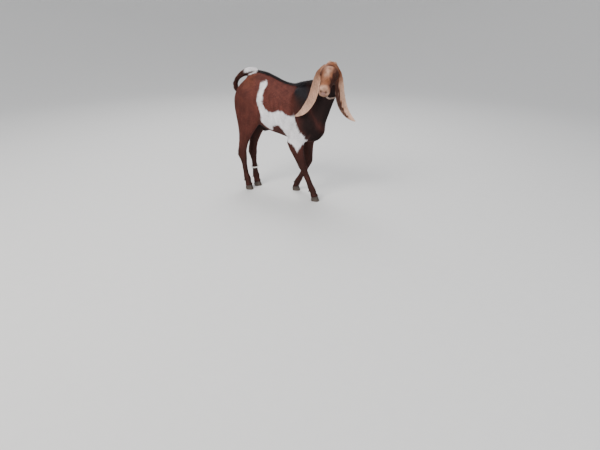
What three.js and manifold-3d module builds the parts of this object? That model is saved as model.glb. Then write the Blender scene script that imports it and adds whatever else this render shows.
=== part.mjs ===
// A young Anglo-Nubian buck, life size, standing with its head turned to its right.
// Millimetres. +X is the way the body faces, +Y is the goat's left and +Z is up.
// The floor is z = 0, and the origin lies under the middle of the goat's outline.
// Every surface here is the outside of the coat.
import * as THREE from 'three';
import { LoftGeometry } from 'three/addons/geometries/LoftGeometry.js';
import { mergeVertices } from 'three/addons/utils/BufferGeometryUtils.js';
import Module from 'manifold-3d';

const wasm = await Module();
wasm.setup();

// ---- driving dimensions --------------------------------------------------------------

const GAP = 0.35;                    // clearance between pieces that touch
const DEGREE = Math.PI / 180;

const HEAD_ORIGIN = [348, -32, 803]; // the poll, between the ears
const HEAD_TURN = -77.5;             // degrees from straight ahead, to the right
const HEAD_DROP = 30;                // degrees that the face points below level
const HEAD_ROLL = -9;                // degrees, its left side lower
const EYE_RADIUS = 13;
const EYE_CENTRE = [90, 34.5, -4];   // the left eye, in the head's own axes

const CLAW_LENGTH = 50;
const CLAW_WIDTH = 20.5;
const CLEFT = 3.2;                   // between the two claws of a foot
const TOE_HEIGHT = 33;               // of the horn at the front
const HEEL_HEIGHT = 17;              // and at the back
const CORONET_SLOPE = (TOE_HEIGHT - HEEL_HEIGHT) / CLAW_LENGTH;

const BAND_RADIUS = 22.5;            // middle of the leg band's wall
const BAND_WALL = 3.2;
const BAND_HEIGHT = 8.5;
const BAND_CENTRE = [-230.5, 31.5, 126];
const BAND_TILT = 9;                 // degrees, hanging lower towards the goat's right

const COLLAR_THROAT = [336, -24, 619]; // where the collar crosses the throat
const COLLAR_FACES = [0.713, -0.612, 0.341];
const COLLAR_WIDTH = 11;
const COLLAR_WALL = 3;
const COLLAR_SLACK = 2;              // between it and the coat

// ---- tables: one row for each station, and the first number of a row is its place ----

// along the back: x, top line, bottom line, half width, height of the widest line,
// fullness above it and fullness below it (2 is an ellipse)
const TRUNK = [
  [-311, 612, 566, 18, 592, 2.0, 2.0],
  [-298, 632, 540, 36, 592, 2.0, 2.0],
  [-268, 668, 500, 52, 596, 1.9, 2.0],
  [-228, 706, 454, 64, 600, 1.75, 2.0],
  [-180, 734, 424, 71, 592, 1.6, 1.9],
  [-130, 738, 402, 76, 572, 1.6, 2.0],
  [-75, 725, 387, 86, 538, 1.7, 2.2],
  [-15, 701, 377, 94, 520, 1.8, 2.3],
  [45, 681, 364, 92, 508, 1.85, 2.25],
  [95, 676, 352, 83, 500, 1.7, 2.05],
  [140, 690, 346, 73, 495, 1.5, 1.9],
  [185, 694, 343, 68, 490, 1.6, 1.9],
  [225, 664, 351, 62, 482, 1.8, 1.9],
  [260, 612, 370, 50, 475, 2.0, 2.0],
  [288, 544, 410, 29, 466, 2.0, 2.0],
];
const TRUNK_SIDES = 20;
const TRUNK_RINGS = 18;

// up the neck: step, crest point x y z, throat point x y z, half width
const NECK = [
  [0, 128, 0, 688, 278, 0, 432, 66],
  [1, 186, 1, 699, 306, 0, 496, 62],
  [2, 229, 3, 709, 327, 2, 556, 53],
  [3, 264, 4, 737, 343, 3, 596, 47],
  [4, 296, 1, 768, 350, 0, 616, 43],
  [5, 320, -16, 796, 356, -22, 646, 40],
  [6, 336, -36, 799, 360, -48, 678, 36],
];
const NECK_SIDES = 16;
const NECK_RINGS = 10;
const NECK_FULLNESS = 2.1;

// down the face: distance from the poll, forehead line, jaw line, half width,
// height of the widest line, fullness above it and below it
const HEAD = [
  [-24, -22, -52, 16, -36, 2.0, 2.0],
  [-14, -4, -70, 31, -33, 2.0, 2.0],
  [4, 9, -90, 41, -28, 2.1, 1.9],
  [28, 16, -99, 46, -22, 2.2, 1.75],
  [56, 20, -98, 48, -14, 2.3, 1.65],
  [82, 20, -89, 46, -12, 2.3, 1.6],
  [106, 17, -77, 40, -14, 2.2, 1.7],
  [130, 12, -66, 34, -18, 2.1, 1.9],
  [154, 5, -60, 31, -23, 2.1, 2.2],
  [176, -4, -58, 30.5, -29, 2.3, 2.5],
  [193, -12, -58, 30, -34, 2.5, 2.6],
  [205, -20, -56, 26, -38, 2.5, 2.6],
  [212, -27, -50, 18, -39, 2.4, 2.4],
  [216, -33, -45, 8, -39, 2.2, 2.2],
];
const HEAD_SIDES = 20;
const HEAD_RINGS = 18;

// rounded masses joined to the head: centre and half sizes in the head's own axes
const HEAD_MASSES = [
  { at: [21, 0, 9], half: [25, 25, 15] },     // forelock
  { at: [5, 15, 9], half: [14, 13, 13] },     // the two tufts on the poll
  { at: [5, -15, 9], half: [14, 13, 13] },
  { at: [74, 31, 8], half: [27, 14, 9] },     // brows
  { at: [74, -31, 8], half: [27, 14, 9] },
  { at: [46, 30, -57], half: [36, 12, 34] },  // cheeks
  { at: [46, -30, -57], half: [36, 12, 34] },
  { at: [190, 0, -53], half: [17, 18, 12] },  // chin
];
const NOSTRIL = { at: [208, 14, -25], half: [9, 3.4, 5.5], turn: 35 };
const MOUTH = { at: [206, 0, -45], half: [24, 34, 1.4] };

// down an ear: step, half width, cup depth, half thickness
const EAR_BUILD = [
  [0, 16, 3, 11],
  [1, 20, 8, 7],
  [2, 23, 11, 3.6],
  [3, 26, 10, 2.7],
  [4, 26.5, 8, 2.4],
  [5, 24.5, 6, 2.1],
  [6, 18, 3, 1.7],
  [7, 4, 0.5, 1.2],
];
const EAR_RIGHT = {
  path: [[321, -49, 798], [292, -66, 771], [281, -85, 714], [274, -96, 666],
    [263, -104, 621], [236, -110, 576], [203, -114, 540], [160, -116, 518]],
  faces: [0.45, -0.86, 0.16],
  broad: 1,
};
const EAR_LEFT = {
  path: [[373, -42, 792], [393, -52, 760], [403, -55, 712], [406, -56, 669],
    [413, -53, 626], [426, -49, 583], [456, -44, 539], [499, -38, 510]],
  faces: [0.62, -0.76, 0.1],
  broad: 1.14,
};
const EAR_POINTS = 6;                // across each face of an ear
const EAR_RINGS = 12;

// along the tail: step, x, y, z, half thickness, half width
const TAIL = [
  [0, -290, 0, 600, 15, 17],
  [1, -316, 0, 606, 15, 19],
  [2, -331, 0, 636, 15, 19],
  [3, -321, -1, 670, 14.5, 18],
  [4, -291, -3, 699, 16, 19],
  [5, -254, -6, 718, 21, 23],
  [6, -213, -9, 732, 23, 24],
  [7, -178, -12, 739, 18, 19],
  [8, -152, -13, 739, 7, 8],
];
const TAIL_SIDES = 10;
const TAIL_RINGS = 12;

// height, half length and half width of the legs
const FORELEG_BUILD = [
  [26, 23, 21],
  [50, 20, 18.5],
  [76, 21.5, 20],
  [100, 20, 18],
  [140, 19.5, 17.5],
  [182, 21, 19.5],
  [210, 24.5, 22.5],
  [238, 29, 23],
  [290, 41, 28],
  [340, 54, 32],
  [392, 71, 33],
  [450, 84, 37],
  [515, 76, 37],
  [575, 61, 32],
  [630, 42, 23],
  [664, 18, 10],
];
const HIND_LEG_BUILD = [
  [26, 23, 21],
  [50, 19.5, 18],
  [78, 21, 19.5],
  [104, 17.5, 16.5],
  [150, 17, 16],
  [196, 21, 18],
  [228, 30, 21.5],
  [262, 28.5, 21],
  [318, 34, 26],
  [366, 49, 33],
  [420, 75, 40],
  [480, 93, 42],
  [545, 95, 41],
  [600, 78, 36],
  [650, 46, 24],
  [680, 16, 9],
];
// the line of each leg: height, x and y of its middle
const LEG_LINES = {
  front_right: [
    [26, 251, -36], [50, 241, -36], [76, 229, -37], [100, 219, -39], [140, 202, -42],
    [182, 183, -45], [210, 171, -47], [238, 159, -49], [290, 141, -52], [340, 125, -54],
    [392, 152, -54], [450, 178, -54], [515, 173, -54], [575, 162, -52], [630, 152, -48],
    [664, 148, -42],
  ],
  front_left: [
    [26, 54, 76], [50, 64, 75], [76, 76, 74], [100, 91, 73], [140, 116, 71],
    [182, 140, 68], [210, 150, 66], [238, 150, 64], [290, 142, 60], [340, 138, 57],
    [392, 158, 55], [450, 178, 54], [515, 173, 54], [575, 162, 52], [630, 152, 48],
    [664, 148, 42],
  ],
  hind_right: [
    [26, -218, -58], [50, -225, -58], [78, -231, -58], [104, -238, -59], [150, -244, -60],
    [196, -251, -61], [228, -258, -62], [262, -254, -62], [318, -240, -62], [366, -224, -60],
    [420, -212, -52], [480, -212, -46], [545, -219, -45], [600, -227, -44], [650, -227, -42],
    [680, -224, -38],
  ],
  hind_left: [
    [26, -214, 31], [50, -220, 31], [78, -225, 31], [104, -230, 32], [150, -235, 33],
    [196, -242, 34], [228, -248, 36], [262, -245, 39], [318, -232, 44], [366, -219, 49],
    [420, -210, 48], [480, -212, 46], [545, -219, 45], [600, -227, 44], [650, -227, 42],
    [680, -224, 38],
  ],
};
const LEG_SIDES = 12;
const LEG_RINGS = 19;

// feet: middle of the sole, turn outwards in degrees
const FEET = {
  front_right: { at: [257, -36], turn: -4, build: FORELEG_BUILD },
  front_left: { at: [59, 76], turn: 6, build: FORELEG_BUILD },
  hind_right: { at: [-213, -58], turn: -7, build: HIND_LEG_BUILD },
  hind_left: { at: [-209, 31], turn: 5, build: HIND_LEG_BUILD },
};
const DEWCLAW = { back: 19.5, up: 58, side: 10.5, half: [5, 5, 8] };

const BELLY_MASSES = [
  { at: [-112, -2, 392], half: [28, 12, 15] },  // sheath
  { at: [-196, -6, 416], half: [21, 19, 34] },  // scrotum
];

// ---- colours -------------------------------------------------------------------------

const coat = (color) => new THREE.MeshStandardMaterial({ color, roughness: 0.8, metalness: 0 });
const BAY = coat(0x6f3a2c);
const DARK_BAY = coat(0x432422);
const BLACK = coat(0x201a1c);
const FACE = coat(0x9c7252);
const CREAM = coat(0xc4a386);
const HORN = new THREE.MeshStandardMaterial({ color: 0x2f2a28, roughness: 0.55, metalness: 0 });
const EYE = new THREE.MeshStandardMaterial({ color: 0x5a3d1c, roughness: 0.1, metalness: 0 });
const WEBBING = new THREE.MeshStandardMaterial({ color: 0xb9a597, roughness: 0.8, metalness: 0 });
const PLASTIC = new THREE.MeshStandardMaterial({ color: 0xe6e4dc, roughness: 0.4, metalness: 0 });

// ---- helpers -------------------------------------------------------------------------

const vector = (xyz) => new THREE.Vector3(...xyz);
const signedPower = (value, power) => Math.sign(value) * Math.abs(value) ** power;

// A table drawn through its rows again as `rings` smooth rows, evenly spread between them.
function resample(rows, rings) {
  const keys = rows.map((row) => row[0]);
  const spline = new THREE.CubicInterpolant(keys, rows.flat(), rows[0].length);
  const last = rows.length - 1;
  const smooth = [];
  for (let ring = 0; ring < rings; ring++) {
    const place = (last * ring) / (rings - 1);
    const row = Math.min(Math.floor(place), last - 1);
    const key = THREE.MathUtils.lerp(keys[row], keys[row + 1], place - row);
    smooth.push(Array.from(spline.evaluate(key)));
  }
  return smooth;
}

// One closed section: `across` and `up` are unit vectors with across × up along the loft.
function section({ centre, across, up, half, rise, drop, above, below, sides }) {
  const points = [];
  for (let i = 0; i < sides; i++) {
    const angle = (2 * Math.PI * i) / sides;
    const sine = Math.sin(angle);
    const power = 2 / (sine >= 0 ? above : below);
    const sideways = half * signedPower(Math.cos(angle), power);
    const height = (sine >= 0 ? rise : drop) * signedPower(sine, power);
    points.push(centre.clone().addScaledVector(across, sideways).addScaledVector(up, height));
  }
  return points;
}

function solidOf(geometry) {
  const bare = new THREE.BufferGeometry().copy(geometry);
  bare.deleteAttribute('normal');
  bare.deleteAttribute('uv');
  const merged = mergeVertices(bare, 1e-4);
  return new wasm.Manifold(new wasm.Mesh({
    numProp: 3,
    vertProperties: merged.attributes.position.array,
    triVerts: new Uint32Array(merged.index.array),
  }));
}

const loft = (sections) => solidOf(new LoftGeometry(sections, { capStart: true, capEnd: true }));

// An ellipsoid mass, turned about its own upright.
function mass({ at, half, turn = 0 }, grow = 0, matrix = null) {
  const geometry = new THREE.SphereGeometry(1, 9, 6);
  geometry.rotateX(Math.PI / 2);
  geometry.scale(...half.map((size) => size + grow));
  geometry.rotateZ(turn * DEGREE);
  geometry.translate(...at);
  if (matrix) geometry.applyMatrix4(matrix);
  return solidOf(geometry);
}

// The biggest of a solid's separate bodies, as a geometry.
function geometryOf(solid) {
  const bodies = solid.decompose();
  bodies.sort((one, other) => other.volume() - one.volume());
  const mesh = bodies[0].getMesh();
  const geometry = new THREE.BufferGeometry();
  geometry.setAttribute('position', new THREE.BufferAttribute(mesh.vertProperties, 3));
  geometry.setIndex(new THREE.BufferAttribute(mesh.triVerts, 1));
  geometry.computeVertexNormals();
  return geometry;
}

// ---- trunk and neck ------------------------------------------------------------------

const ACROSS = vector([0, 1, 0]);
const UP = vector([0, 0, 1]);

function trunkLoft() {
  return loft(resample(TRUNK, TRUNK_RINGS).map(([x, top, bottom, half, widest, above, below]) => section({
    centre: vector([x, 0, widest]), across: ACROSS, up: UP,
    half, rise: top - widest, drop: widest - bottom, above, below, sides: TRUNK_SIDES,
  })));
}

function neckSections() {
  const rows = resample(NECK, NECK_RINGS).map(([, cx, cy, cz, tx, ty, tz, half]) => {
    const crest = vector([cx, cy, cz]);
    const throat = vector([tx, ty, tz]);
    const centre = crest.clone().lerp(throat, 0.5);
    return { centre, half, depth: crest.distanceTo(throat) / 2, up: crest.sub(throat).normalize() };
  });
  return rows.map(({ centre, half, depth, up }, i) => {
    const before = rows[Math.max(i - 1, 0)].centre;
    const after = rows[Math.min(i + 1, rows.length - 1)].centre;
    const ahead = after.clone().sub(before);
    const across = up.clone().cross(ahead).normalize();
    return section({
      centre, across, up, half, rise: depth, drop: depth,
      above: NECK_FULLNESS, below: NECK_FULLNESS, sides: NECK_SIDES,
    });
  });
}

// A flat strap round the neck, lying along it where the collar's plane crosses.
function collarSolid(slack, wall, width) {
  const faces = vector(COLLAR_FACES).normalize();
  const past = (point) => point.clone().sub(vector(COLLAR_THROAT)).dot(faces);
  const rings = neckSections();
  const places = rings[0].map((_, i) => {
    const next = rings.findIndex((ring) => past(ring[i]) > 0);
    const [low, high] = [rings[next - 1][i], rings[next][i]];
    const share = past(low) / (past(low) - past(high));
    return { at: low.clone().lerp(high, share), along: high.clone().sub(low).normalize() };
  });
  const sections = places.map(({ at, along }, i) => {
    const before = places.at(i - 1).at;
    const after = places[(i + 1) % places.length].at;
    const outward = after.clone().sub(before).cross(along).normalize();
    const corner = (out, run) => at.clone().addScaledVector(outward, out).addScaledVector(along, run);
    return [
      corner(slack, -width / 2), corner(slack, width / 2),
      corner(slack + wall, width / 2), corner(slack + wall, -width / 2),
    ];
  });
  return solidOf(new LoftGeometry([...sections, sections[0]]));
}

// ---- head ----------------------------------------------------------------------------

const HEAD_POSE = new THREE.Matrix4().compose(
  vector(HEAD_ORIGIN),
  new THREE.Quaternion().setFromEuler(
    new THREE.Euler(HEAD_ROLL * DEGREE, HEAD_DROP * DEGREE, HEAD_TURN * DEGREE, 'ZYX')),
  vector([1, 1, 1]),
);
const mirrored = (xyz, side) => [xyz[0], side * xyz[1], xyz[2]];

function headLoft(grow = 0) {
  const rows = resample(HEAD, HEAD_RINGS);
  const sections = rows.map(([x, top, bottom, half, widest, above, below], i) => section({
    centre: vector([x + (i === 0 ? -grow : 0), 0, widest]), across: ACROSS, up: UP,
    half: half + grow, rise: top - widest + grow, drop: widest - bottom + grow,
    above, below, sides: HEAD_SIDES,
  }));
  return loft(sections.map((points) => points.map((point) => point.applyMatrix4(HEAD_POSE))));
}

function eyeSolid(side, grow = 0) {
  const geometry = new THREE.SphereGeometry(EYE_RADIUS + grow, 10, 8);
  geometry.translate(...mirrored(EYE_CENTRE, side));
  geometry.applyMatrix4(HEAD_POSE);
  return solidOf(geometry);
}

function headOutside(grow = 0) {
  let solid = headLoft(grow);
  for (const blob of HEAD_MASSES) {
    solid = solid.add(mass(blob, grow, HEAD_POSE));
  }
  return solid;
}

function headSolid() {
  let solid = headOutside();
  for (const side of [1, -1]) {
    const nostril = { ...NOSTRIL, at: mirrored(NOSTRIL.at, side), turn: side * NOSTRIL.turn };
    solid = solid.subtract(mass(nostril, 0, HEAD_POSE));
    solid = solid.subtract(eyeSolid(side, GAP));
  }
  return solid.subtract(mass(MOUTH, 0, HEAD_POSE));
}

// ---- ears ----------------------------------------------------------------------------

function earSolid({ path, faces, broad }, grow = 0) {
  const curve = new THREE.CatmullRomCurve3(path.map(vector));
  const facing = vector(faces);
  const last = path.length - 1;
  return loft(resample(EAR_BUILD, EAR_RINGS).map(([step, narrow, cup, thick]) => {
    const t = step / last;
    const half = narrow * broad;
    const along = curve.getTangent(t);
    const centre = curve.getPoint(t).addScaledVector(along, step === 0 ? -grow : 0);
    const across = along.clone().cross(facing).normalize();
    const outward = across.clone().cross(along).normalize().negate();
    const edge = [];
    for (const face of [1, -1]) {
      for (let i = 0; i < EAR_POINTS; i++) {
        const u = face * (1 - (2 * i) / EAR_POINTS);
        const wide = (half + grow) * u;
        const bend = cup * (0.5 - (wide / half) ** 2);
        const wall = (thick + grow) * Math.sqrt(Math.max(1 - u * u, 0));
        edge.push(centre.clone().addScaledVector(across, wide)
          .addScaledVector(outward, bend + face * wall));
      }
    }
    return edge;
  }));
}

// ---- tail ----------------------------------------------------------------------------

function tailSolid(grow = 0) {
  const rows = resample(TAIL, TAIL_RINGS);
  return loft(rows.map(([, x, y, z, thick, half], i) => {
    const before = rows[Math.max(i - 1, 0)];
    const after = rows[Math.min(i + 1, rows.length - 1)];
    const along = vector(after.slice(1, 4)).sub(vector(before.slice(1, 4))).normalize();
    const up = along.clone().cross(ACROSS).normalize();
    const across = up.clone().cross(along).normalize();
    return section({
      centre: vector([x, y, z]), across, up, half: half + grow, rise: thick + grow,
      drop: thick + grow, above: 2, below: 2, sides: TAIL_SIDES,
    });
  }));
}

// ---- legs and feet -------------------------------------------------------------------

const FORWARD = vector([1, 0, 0]);

function legSolid(build, line, grow = 0) {
  const rows = build.map((row, i) => [...row, line[i][1], line[i][2]]);
  const top = rows.at(-1)[0];
  const bottom = rows[0][0];
  return loft(resample(rows, LEG_RINGS).map(([z, long, wide, x, y]) => {
    const end = z === top ? grow : z === bottom ? -grow : 0;
    const ring = section({
      centre: vector([x, y, z + end]), across: FORWARD, up: ACROSS,
      half: long + grow, rise: wide + grow, drop: wide + grow,
      above: 2.1, below: 2.1, sides: LEG_SIDES,
    });
    if (z === bottom) {
      for (const point of ring) {
        point.z += CORONET_SLOPE * (point.x - x);
      }
    }
    return ring;
  }));
}

// One claw of a foot with its flat sole on the floor, toe towards +X.
function clawGeometry(side) {
  const levels = 2;
  const outerPoints = 8;
  const sections = [];
  for (let level = 0; level <= levels; level++) {
    const t = level / levels;
    const length = CLAW_LENGTH * (1 - 0.2 * t);
    const width = CLAW_WIDTH * (1 - 0.1 * t);
    const shift = -0.14 * CLAW_LENGTH * t;
    const points = [];
    for (let i = 0; i <= outerPoints; i++) {
      const angle = (Math.PI * i) / outerPoints;
      const x = (length / 2) * Math.cos(angle) + shift;
      const lean = 1 - 0.2 * Math.cos(angle);
      const y = CLEFT / 2 + width * lean * Math.sin(angle) ** 0.75;
      const height = HEEL_HEIGHT + CORONET_SLOPE * ((length / 2) * (1 + Math.cos(angle)));
      points.push(new THREE.Vector3(x, side * y, t * height));
    }
    if (side < 0) points.reverse();
    sections.push(points);
  }
  return new LoftGeometry(sections, { capStart: true, capEnd: true });
}

function dewclawGeometry(side, grow = 0) {
  const [long, wide, tall] = DEWCLAW.half.map((size) => size + grow);
  const profile = [
    new THREE.Vector2(0, -tall),
    new THREE.Vector2(0.5, -0.75 * tall),
    new THREE.Vector2(1, 0.1 * tall),
    new THREE.Vector2(0.7, 0.8 * tall),
    new THREE.Vector2(0, tall),
  ];
  const geometry = new THREE.LatheGeometry(profile, 6);
  geometry.rotateX(Math.PI / 2);
  geometry.scale(long, wide, 1);
  geometry.rotateY(28 * DEGREE);
  geometry.translate(-DEWCLAW.back, side * DEWCLAW.side, 0);
  return geometry;
}

function bandGeometry() {
  const inner = BAND_RADIUS - BAND_WALL / 2;
  const outer = BAND_RADIUS + BAND_WALL / 2;
  const edge = BAND_HEIGHT / 2;
  const round = 0.8;
  const profile = [
    [inner, -edge], [outer - round, -edge], [outer, round - edge],
    [outer, edge - round], [outer - round, edge], [inner, edge], [inner, -edge],
  ].map(([radius, height]) => new THREE.Vector2(radius, height));
  return new THREE.LatheGeometry(profile, 16).rotateX(Math.PI / 2);
}

// ---- the goat, joined and parted -----------------------------------------------------

const SLAB_SIZE = 700;
const goat = new THREE.Group();

function addPiece(name, geometry, material) {
  const mesh = new THREE.Mesh(geometry, material);
  mesh.name = name;
  goat.add(mesh);
  return mesh;
}

// A wide slab facing `normal`, its middle `shift` ahead of `point`.
function slab(point, normal, thickness, shift = 0) {
  const geometry = new THREE.BoxGeometry(SLAB_SIZE, SLAB_SIZE, thickness);
  geometry.translate(0, 0, shift);
  geometry.applyQuaternion(new THREE.Quaternion().setFromUnitVectors(UP, normal));
  geometry.translate(...point);
  return solidOf(geometry);
}

const legs = {};
const grownLegs = [];
for (const [name, { build }] of Object.entries(FEET)) {
  legs[name] = legSolid(build, LEG_LINES[name]);
  grownLegs.push(legSolid(build, LEG_LINES[name], GAP));
}

let whole = trunkLoft().add(loft(neckSections()));
for (const blob of BELLY_MASSES) {
  whole = whole.add(mass(blob));
}
for (const leg of grownLegs) {
  whole = whole.subtract(leg);
}
whole = whole.subtract(tailSolid(GAP));

const neckBase = [212, 0, 575];
const neckFaces = vector([0.86, 0, 0.5]).normalize();
const halfSlab = (SLAB_SIZE + GAP) / 2;
const aheadOfBase = slab(neckBase, neckFaces, SLAB_SIZE, halfSlab);
const behindBase = slab(neckBase, neckFaces, SLAB_SIZE, -halfSlab);
const ears = { ear_right: EAR_RIGHT, ear_left: EAR_LEFT };

const eyes = { eye_right: eyeSolid(-1), eye_left: eyeSolid(1) };
let head = headSolid();
let neck = whole.intersect(aheadOfBase).subtract(headOutside(GAP));
for (const ear of Object.values(ears)) {
  head = head.subtract(earSolid(ear, GAP));
  neck = neck.subtract(earSolid(ear, GAP));
}

addPiece('trunk', geometryOf(whole.intersect(behindBase)), BAY);
addPiece('neck', geometryOf(neck), BLACK);
addPiece('head', geometryOf(head), FACE);
for (const [name, ear] of Object.entries(ears)) {
  addPiece(name, geometryOf(earSolid(ear)), CREAM);
}
for (const [name, eye] of Object.entries(eyes)) {
  addPiece(name, geometryOf(eye), EYE);
}
addPiece('tail', geometryOf(tailSolid()), DARK_BAY);

for (const [name, leg] of Object.entries(legs)) {
  const { at, turn } = FEET[name];
  const line = LEG_LINES[name];
  const fetlock = line.findIndex(([height]) => height > DEWCLAW.up);
  const share = (DEWCLAW.up - line[fetlock - 1][0]) / (line[fetlock][0] - line[fetlock - 1][0]);
  const [, x, y] = line[fetlock].map((value, i) => (
    THREE.MathUtils.lerp(line[fetlock - 1][i], value, share)));
  const spin = new THREE.Matrix4().makeRotationZ(turn * DEGREE);
  const clawPlace = spin.clone().setPosition(at[0], at[1], 0);
  const dewclawPlace = spin.clone().setPosition(x, y, DEWCLAW.up);
  let solid = leg;
  for (const [label, side] of [['left', 1], ['right', -1]]) {
    const claw = clawGeometry(side).applyMatrix4(clawPlace);
    const dewclaw = dewclawGeometry(side).applyMatrix4(dewclawPlace);
    addPiece(`claw_${name}_${label}`, claw, HORN);
    addPiece(`dewclaw_${name}_${label}`, dewclaw, HORN);
    solid = solid.subtract(solidOf(dewclawGeometry(side, GAP).applyMatrix4(dewclawPlace)));
  }
  addPiece(`leg_${name}`, geometryOf(solid), DARK_BAY);
}

addPiece('collar', geometryOf(collarSolid(COLLAR_SLACK, COLLAR_WALL, COLLAR_WIDTH)), WEBBING);

const band = addPiece('leg_band', bandGeometry(), PLASTIC);
band.position.set(...BAND_CENTRE);
band.rotation.set(BAND_TILT * DEGREE, 0, 0);

// the origin goes under the middle of the outline
const box = new THREE.Box3().setFromObject(goat);
goat.position.set(-(box.min.x + box.max.x) / 2, -(box.min.y + box.max.y) / 2, 0);

export default goat;
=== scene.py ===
import math

import bmesh
import bpy
import numpy as np
from mathutils import Matrix, Vector
from mathutils.bvhtree import BVHTree


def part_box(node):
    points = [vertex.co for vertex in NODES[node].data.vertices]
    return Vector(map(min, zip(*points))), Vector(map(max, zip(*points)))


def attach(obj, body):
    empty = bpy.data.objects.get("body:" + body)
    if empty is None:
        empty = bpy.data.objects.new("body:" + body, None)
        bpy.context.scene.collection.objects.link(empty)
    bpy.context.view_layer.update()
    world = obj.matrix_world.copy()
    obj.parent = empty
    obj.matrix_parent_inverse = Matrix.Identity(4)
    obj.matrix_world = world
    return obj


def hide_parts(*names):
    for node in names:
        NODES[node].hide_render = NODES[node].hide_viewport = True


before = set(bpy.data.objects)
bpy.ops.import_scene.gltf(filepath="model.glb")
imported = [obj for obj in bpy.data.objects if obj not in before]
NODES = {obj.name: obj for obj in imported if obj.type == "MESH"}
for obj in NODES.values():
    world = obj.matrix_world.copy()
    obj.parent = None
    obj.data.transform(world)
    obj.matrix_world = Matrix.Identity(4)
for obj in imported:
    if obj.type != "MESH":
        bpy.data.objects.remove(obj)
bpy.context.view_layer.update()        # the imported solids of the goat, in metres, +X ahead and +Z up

bl_info = {
    "name": "Standing Goat",
    "version": (1, 0, 0),
    "blender": (4, 5, 0),
    "location": "3D Viewport > Sidebar > Goat",
    "description": "Builds a young lop-eared goat: its skin, coat, eyes, hooves, band and collar",
    "category": "Object",
}

MM = 0.001
SEED = 41
BODY = "root"

LEGS = ("leg_front_right", "leg_front_left", "leg_hind_right", "leg_hind_left")
EARS = ("ear_right", "ear_left")
EYES = ("eye_right", "eye_left")
FLESH = ("trunk", "neck", "head", "tail") + EARS + LEGS
TRUNK, NECK, HEAD, TAIL = range(4)
EAR_LABELS = (4, 5)
FRONT_LEGS = (6, 7)
HIND_LEGS = (8, 9)

# The marks of the coat, painted shade and painted highlights among them, each a mask that skin and
# tufts both carry
MARKS = ("dark", "black", "blue", "tan", "rust_and_highlight", "cream", "smudge_and_shade", "white", "bare")


# ---- places worked out from the frame, in millimetres ---------------------------------

def middle(name):
    """The middle of a solid of the frame."""
    low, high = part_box(name)
    return np.array((low + high) / 2) / MM


BODY_MIDDLE = middle("trunk")[1]
FACE_TURN, FACE_DROP, FACE_ROLL = (math.radians(a) for a in (-77.5, 30, -9))
FACE = np.array(Matrix.Rotation(FACE_TURN, 3, "Z") @ Matrix.Rotation(FACE_DROP, 3, "Y")
                @ Matrix.Rotation(FACE_ROLL, 3, "X"))
EYE_IN_FACE = np.array((90.0, 34.5, -4.0))
POLL = (middle("eye_right") + middle("eye_left")) / 2 - FACE @ (EYE_IN_FACE * (1, 0, 1))


def to_face(points):
    """Places in the face's own axes: towards the nose, to the goat's left, and up its forehead."""
    return (points - POLL) @ FACE


def ramp(values, start, end):
    """A smooth step from 0 at start to 1 at end, which may be the lower of the two."""
    t = np.clip((values - start) / (end - start), 0, 1)
    return t * t * (3 - 2 * t)


def bell(points, at, radii):
    """1 at a place, fading to nothing over about twice the radii."""
    away = (points - np.array(at)) / np.array(radii)
    return np.exp(-(away ** 2).sum(1))


# ---- settings -------------------------------------------------------------------------

def length(default, words):
    return bpy.props.FloatProperty(name=words, description=words + ", in millimetres",
                                   default=default, min=0)


def colour(default, words):
    return bpy.props.FloatVectorProperty(name=words, description="Colour of the " + words.lower(),
                                         subtype="COLOR", size=3, min=0, max=1, default=default)


class GoatSizes(bpy.types.PropertyGroup):
    voxel: length(1.9, "Skin grid")
    body_depth: length(2.0, "Coat depth on the body")
    leg_depth: length(0.9, "Coat depth on the legs")
    head_depth: length(1.2, "Coat depth on the head")
    ear_depth: length(0.5, "Coat depth on the ears")
    tail_depth: length(4.5, "Coat depth on the tail")
    tuft_width: length(1.5, "Tuft width on the body")


class GoatColours(bpy.types.PropertyGroup):
    chestnut: colour((0.108, 0.0275, 0.0200), "Chestnut coat")
    # dark brown hair of the legs and face, and also painted shade in the hip hollow, under the belly,
    # inside the legs, on the face's left side and under the jaw
    dark: colour((0.036, 0.0110, 0.0080), "Dark brown coat")
    # rusty hair of the poll, ear roots and hock fringes, and also painted highlight on the top of the
    # rump and the rear-facing thighs and tail
    rust_and_highlight: colour((0.230, 0.070, 0.028), "Rusty fringes")
    tan: colour((0.250, 0.098, 0.048), "Tan face")
    cream: colour((0.640, 0.405, 0.290), "Cream hair")
    # black hair of the neck, chest and back, and also painted shade in the groin, the nostrils and the
    # mouth's line
    black: colour((0.0090, 0.0042, 0.0040), "Black coat")
    # black hair of the withers and back, with a painted bluish sheen as of the sky reflected on it
    blue: colour((0.0085, 0.0088, 0.0120), "Blue-black withers")
    white: colour((0.800, 0.775, 0.790), "White coat")
    bare: colour((0.300, 0.170, 0.140), "Bare nose")
    iris: colour((0.105, 0.048, 0.015), "Iris")
    horn: colour((0.034, 0.026, 0.023), "Hoof horn")
    band: colour((0.800, 0.780, 0.730), "Leg band")
    webbing: colour((0.430, 0.330, 0.280), "Collar webbing")
    floor: colour((0.740, 0.735, 0.720), "Floor")


class GoatStage(bpy.types.PropertyGroup):
    lens: bpy.props.FloatProperty(name="Lens", description="Focal length of the camera's lens",
                                  default=30, unit="CAMERA")
    azimuth: bpy.props.FloatProperty(name="Azimuth", description="Way the camera looks, round the goat",
                                     default=math.radians(30), subtype="ANGLE")
    pitch: bpy.props.FloatProperty(name="Pitch", description="How far the camera looks down",
                                   default=math.radians(23.9), subtype="ANGLE")
    height: bpy.props.FloatProperty(name="Height", description="Height of the camera",
                                    default=1.1, unit="LENGTH")


def sizes():
    return bpy.context.scene.goat_sizes


def colours():
    return bpy.context.scene.goat_colours


# ---- meshes as arrays -----------------------------------------------------------------

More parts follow.
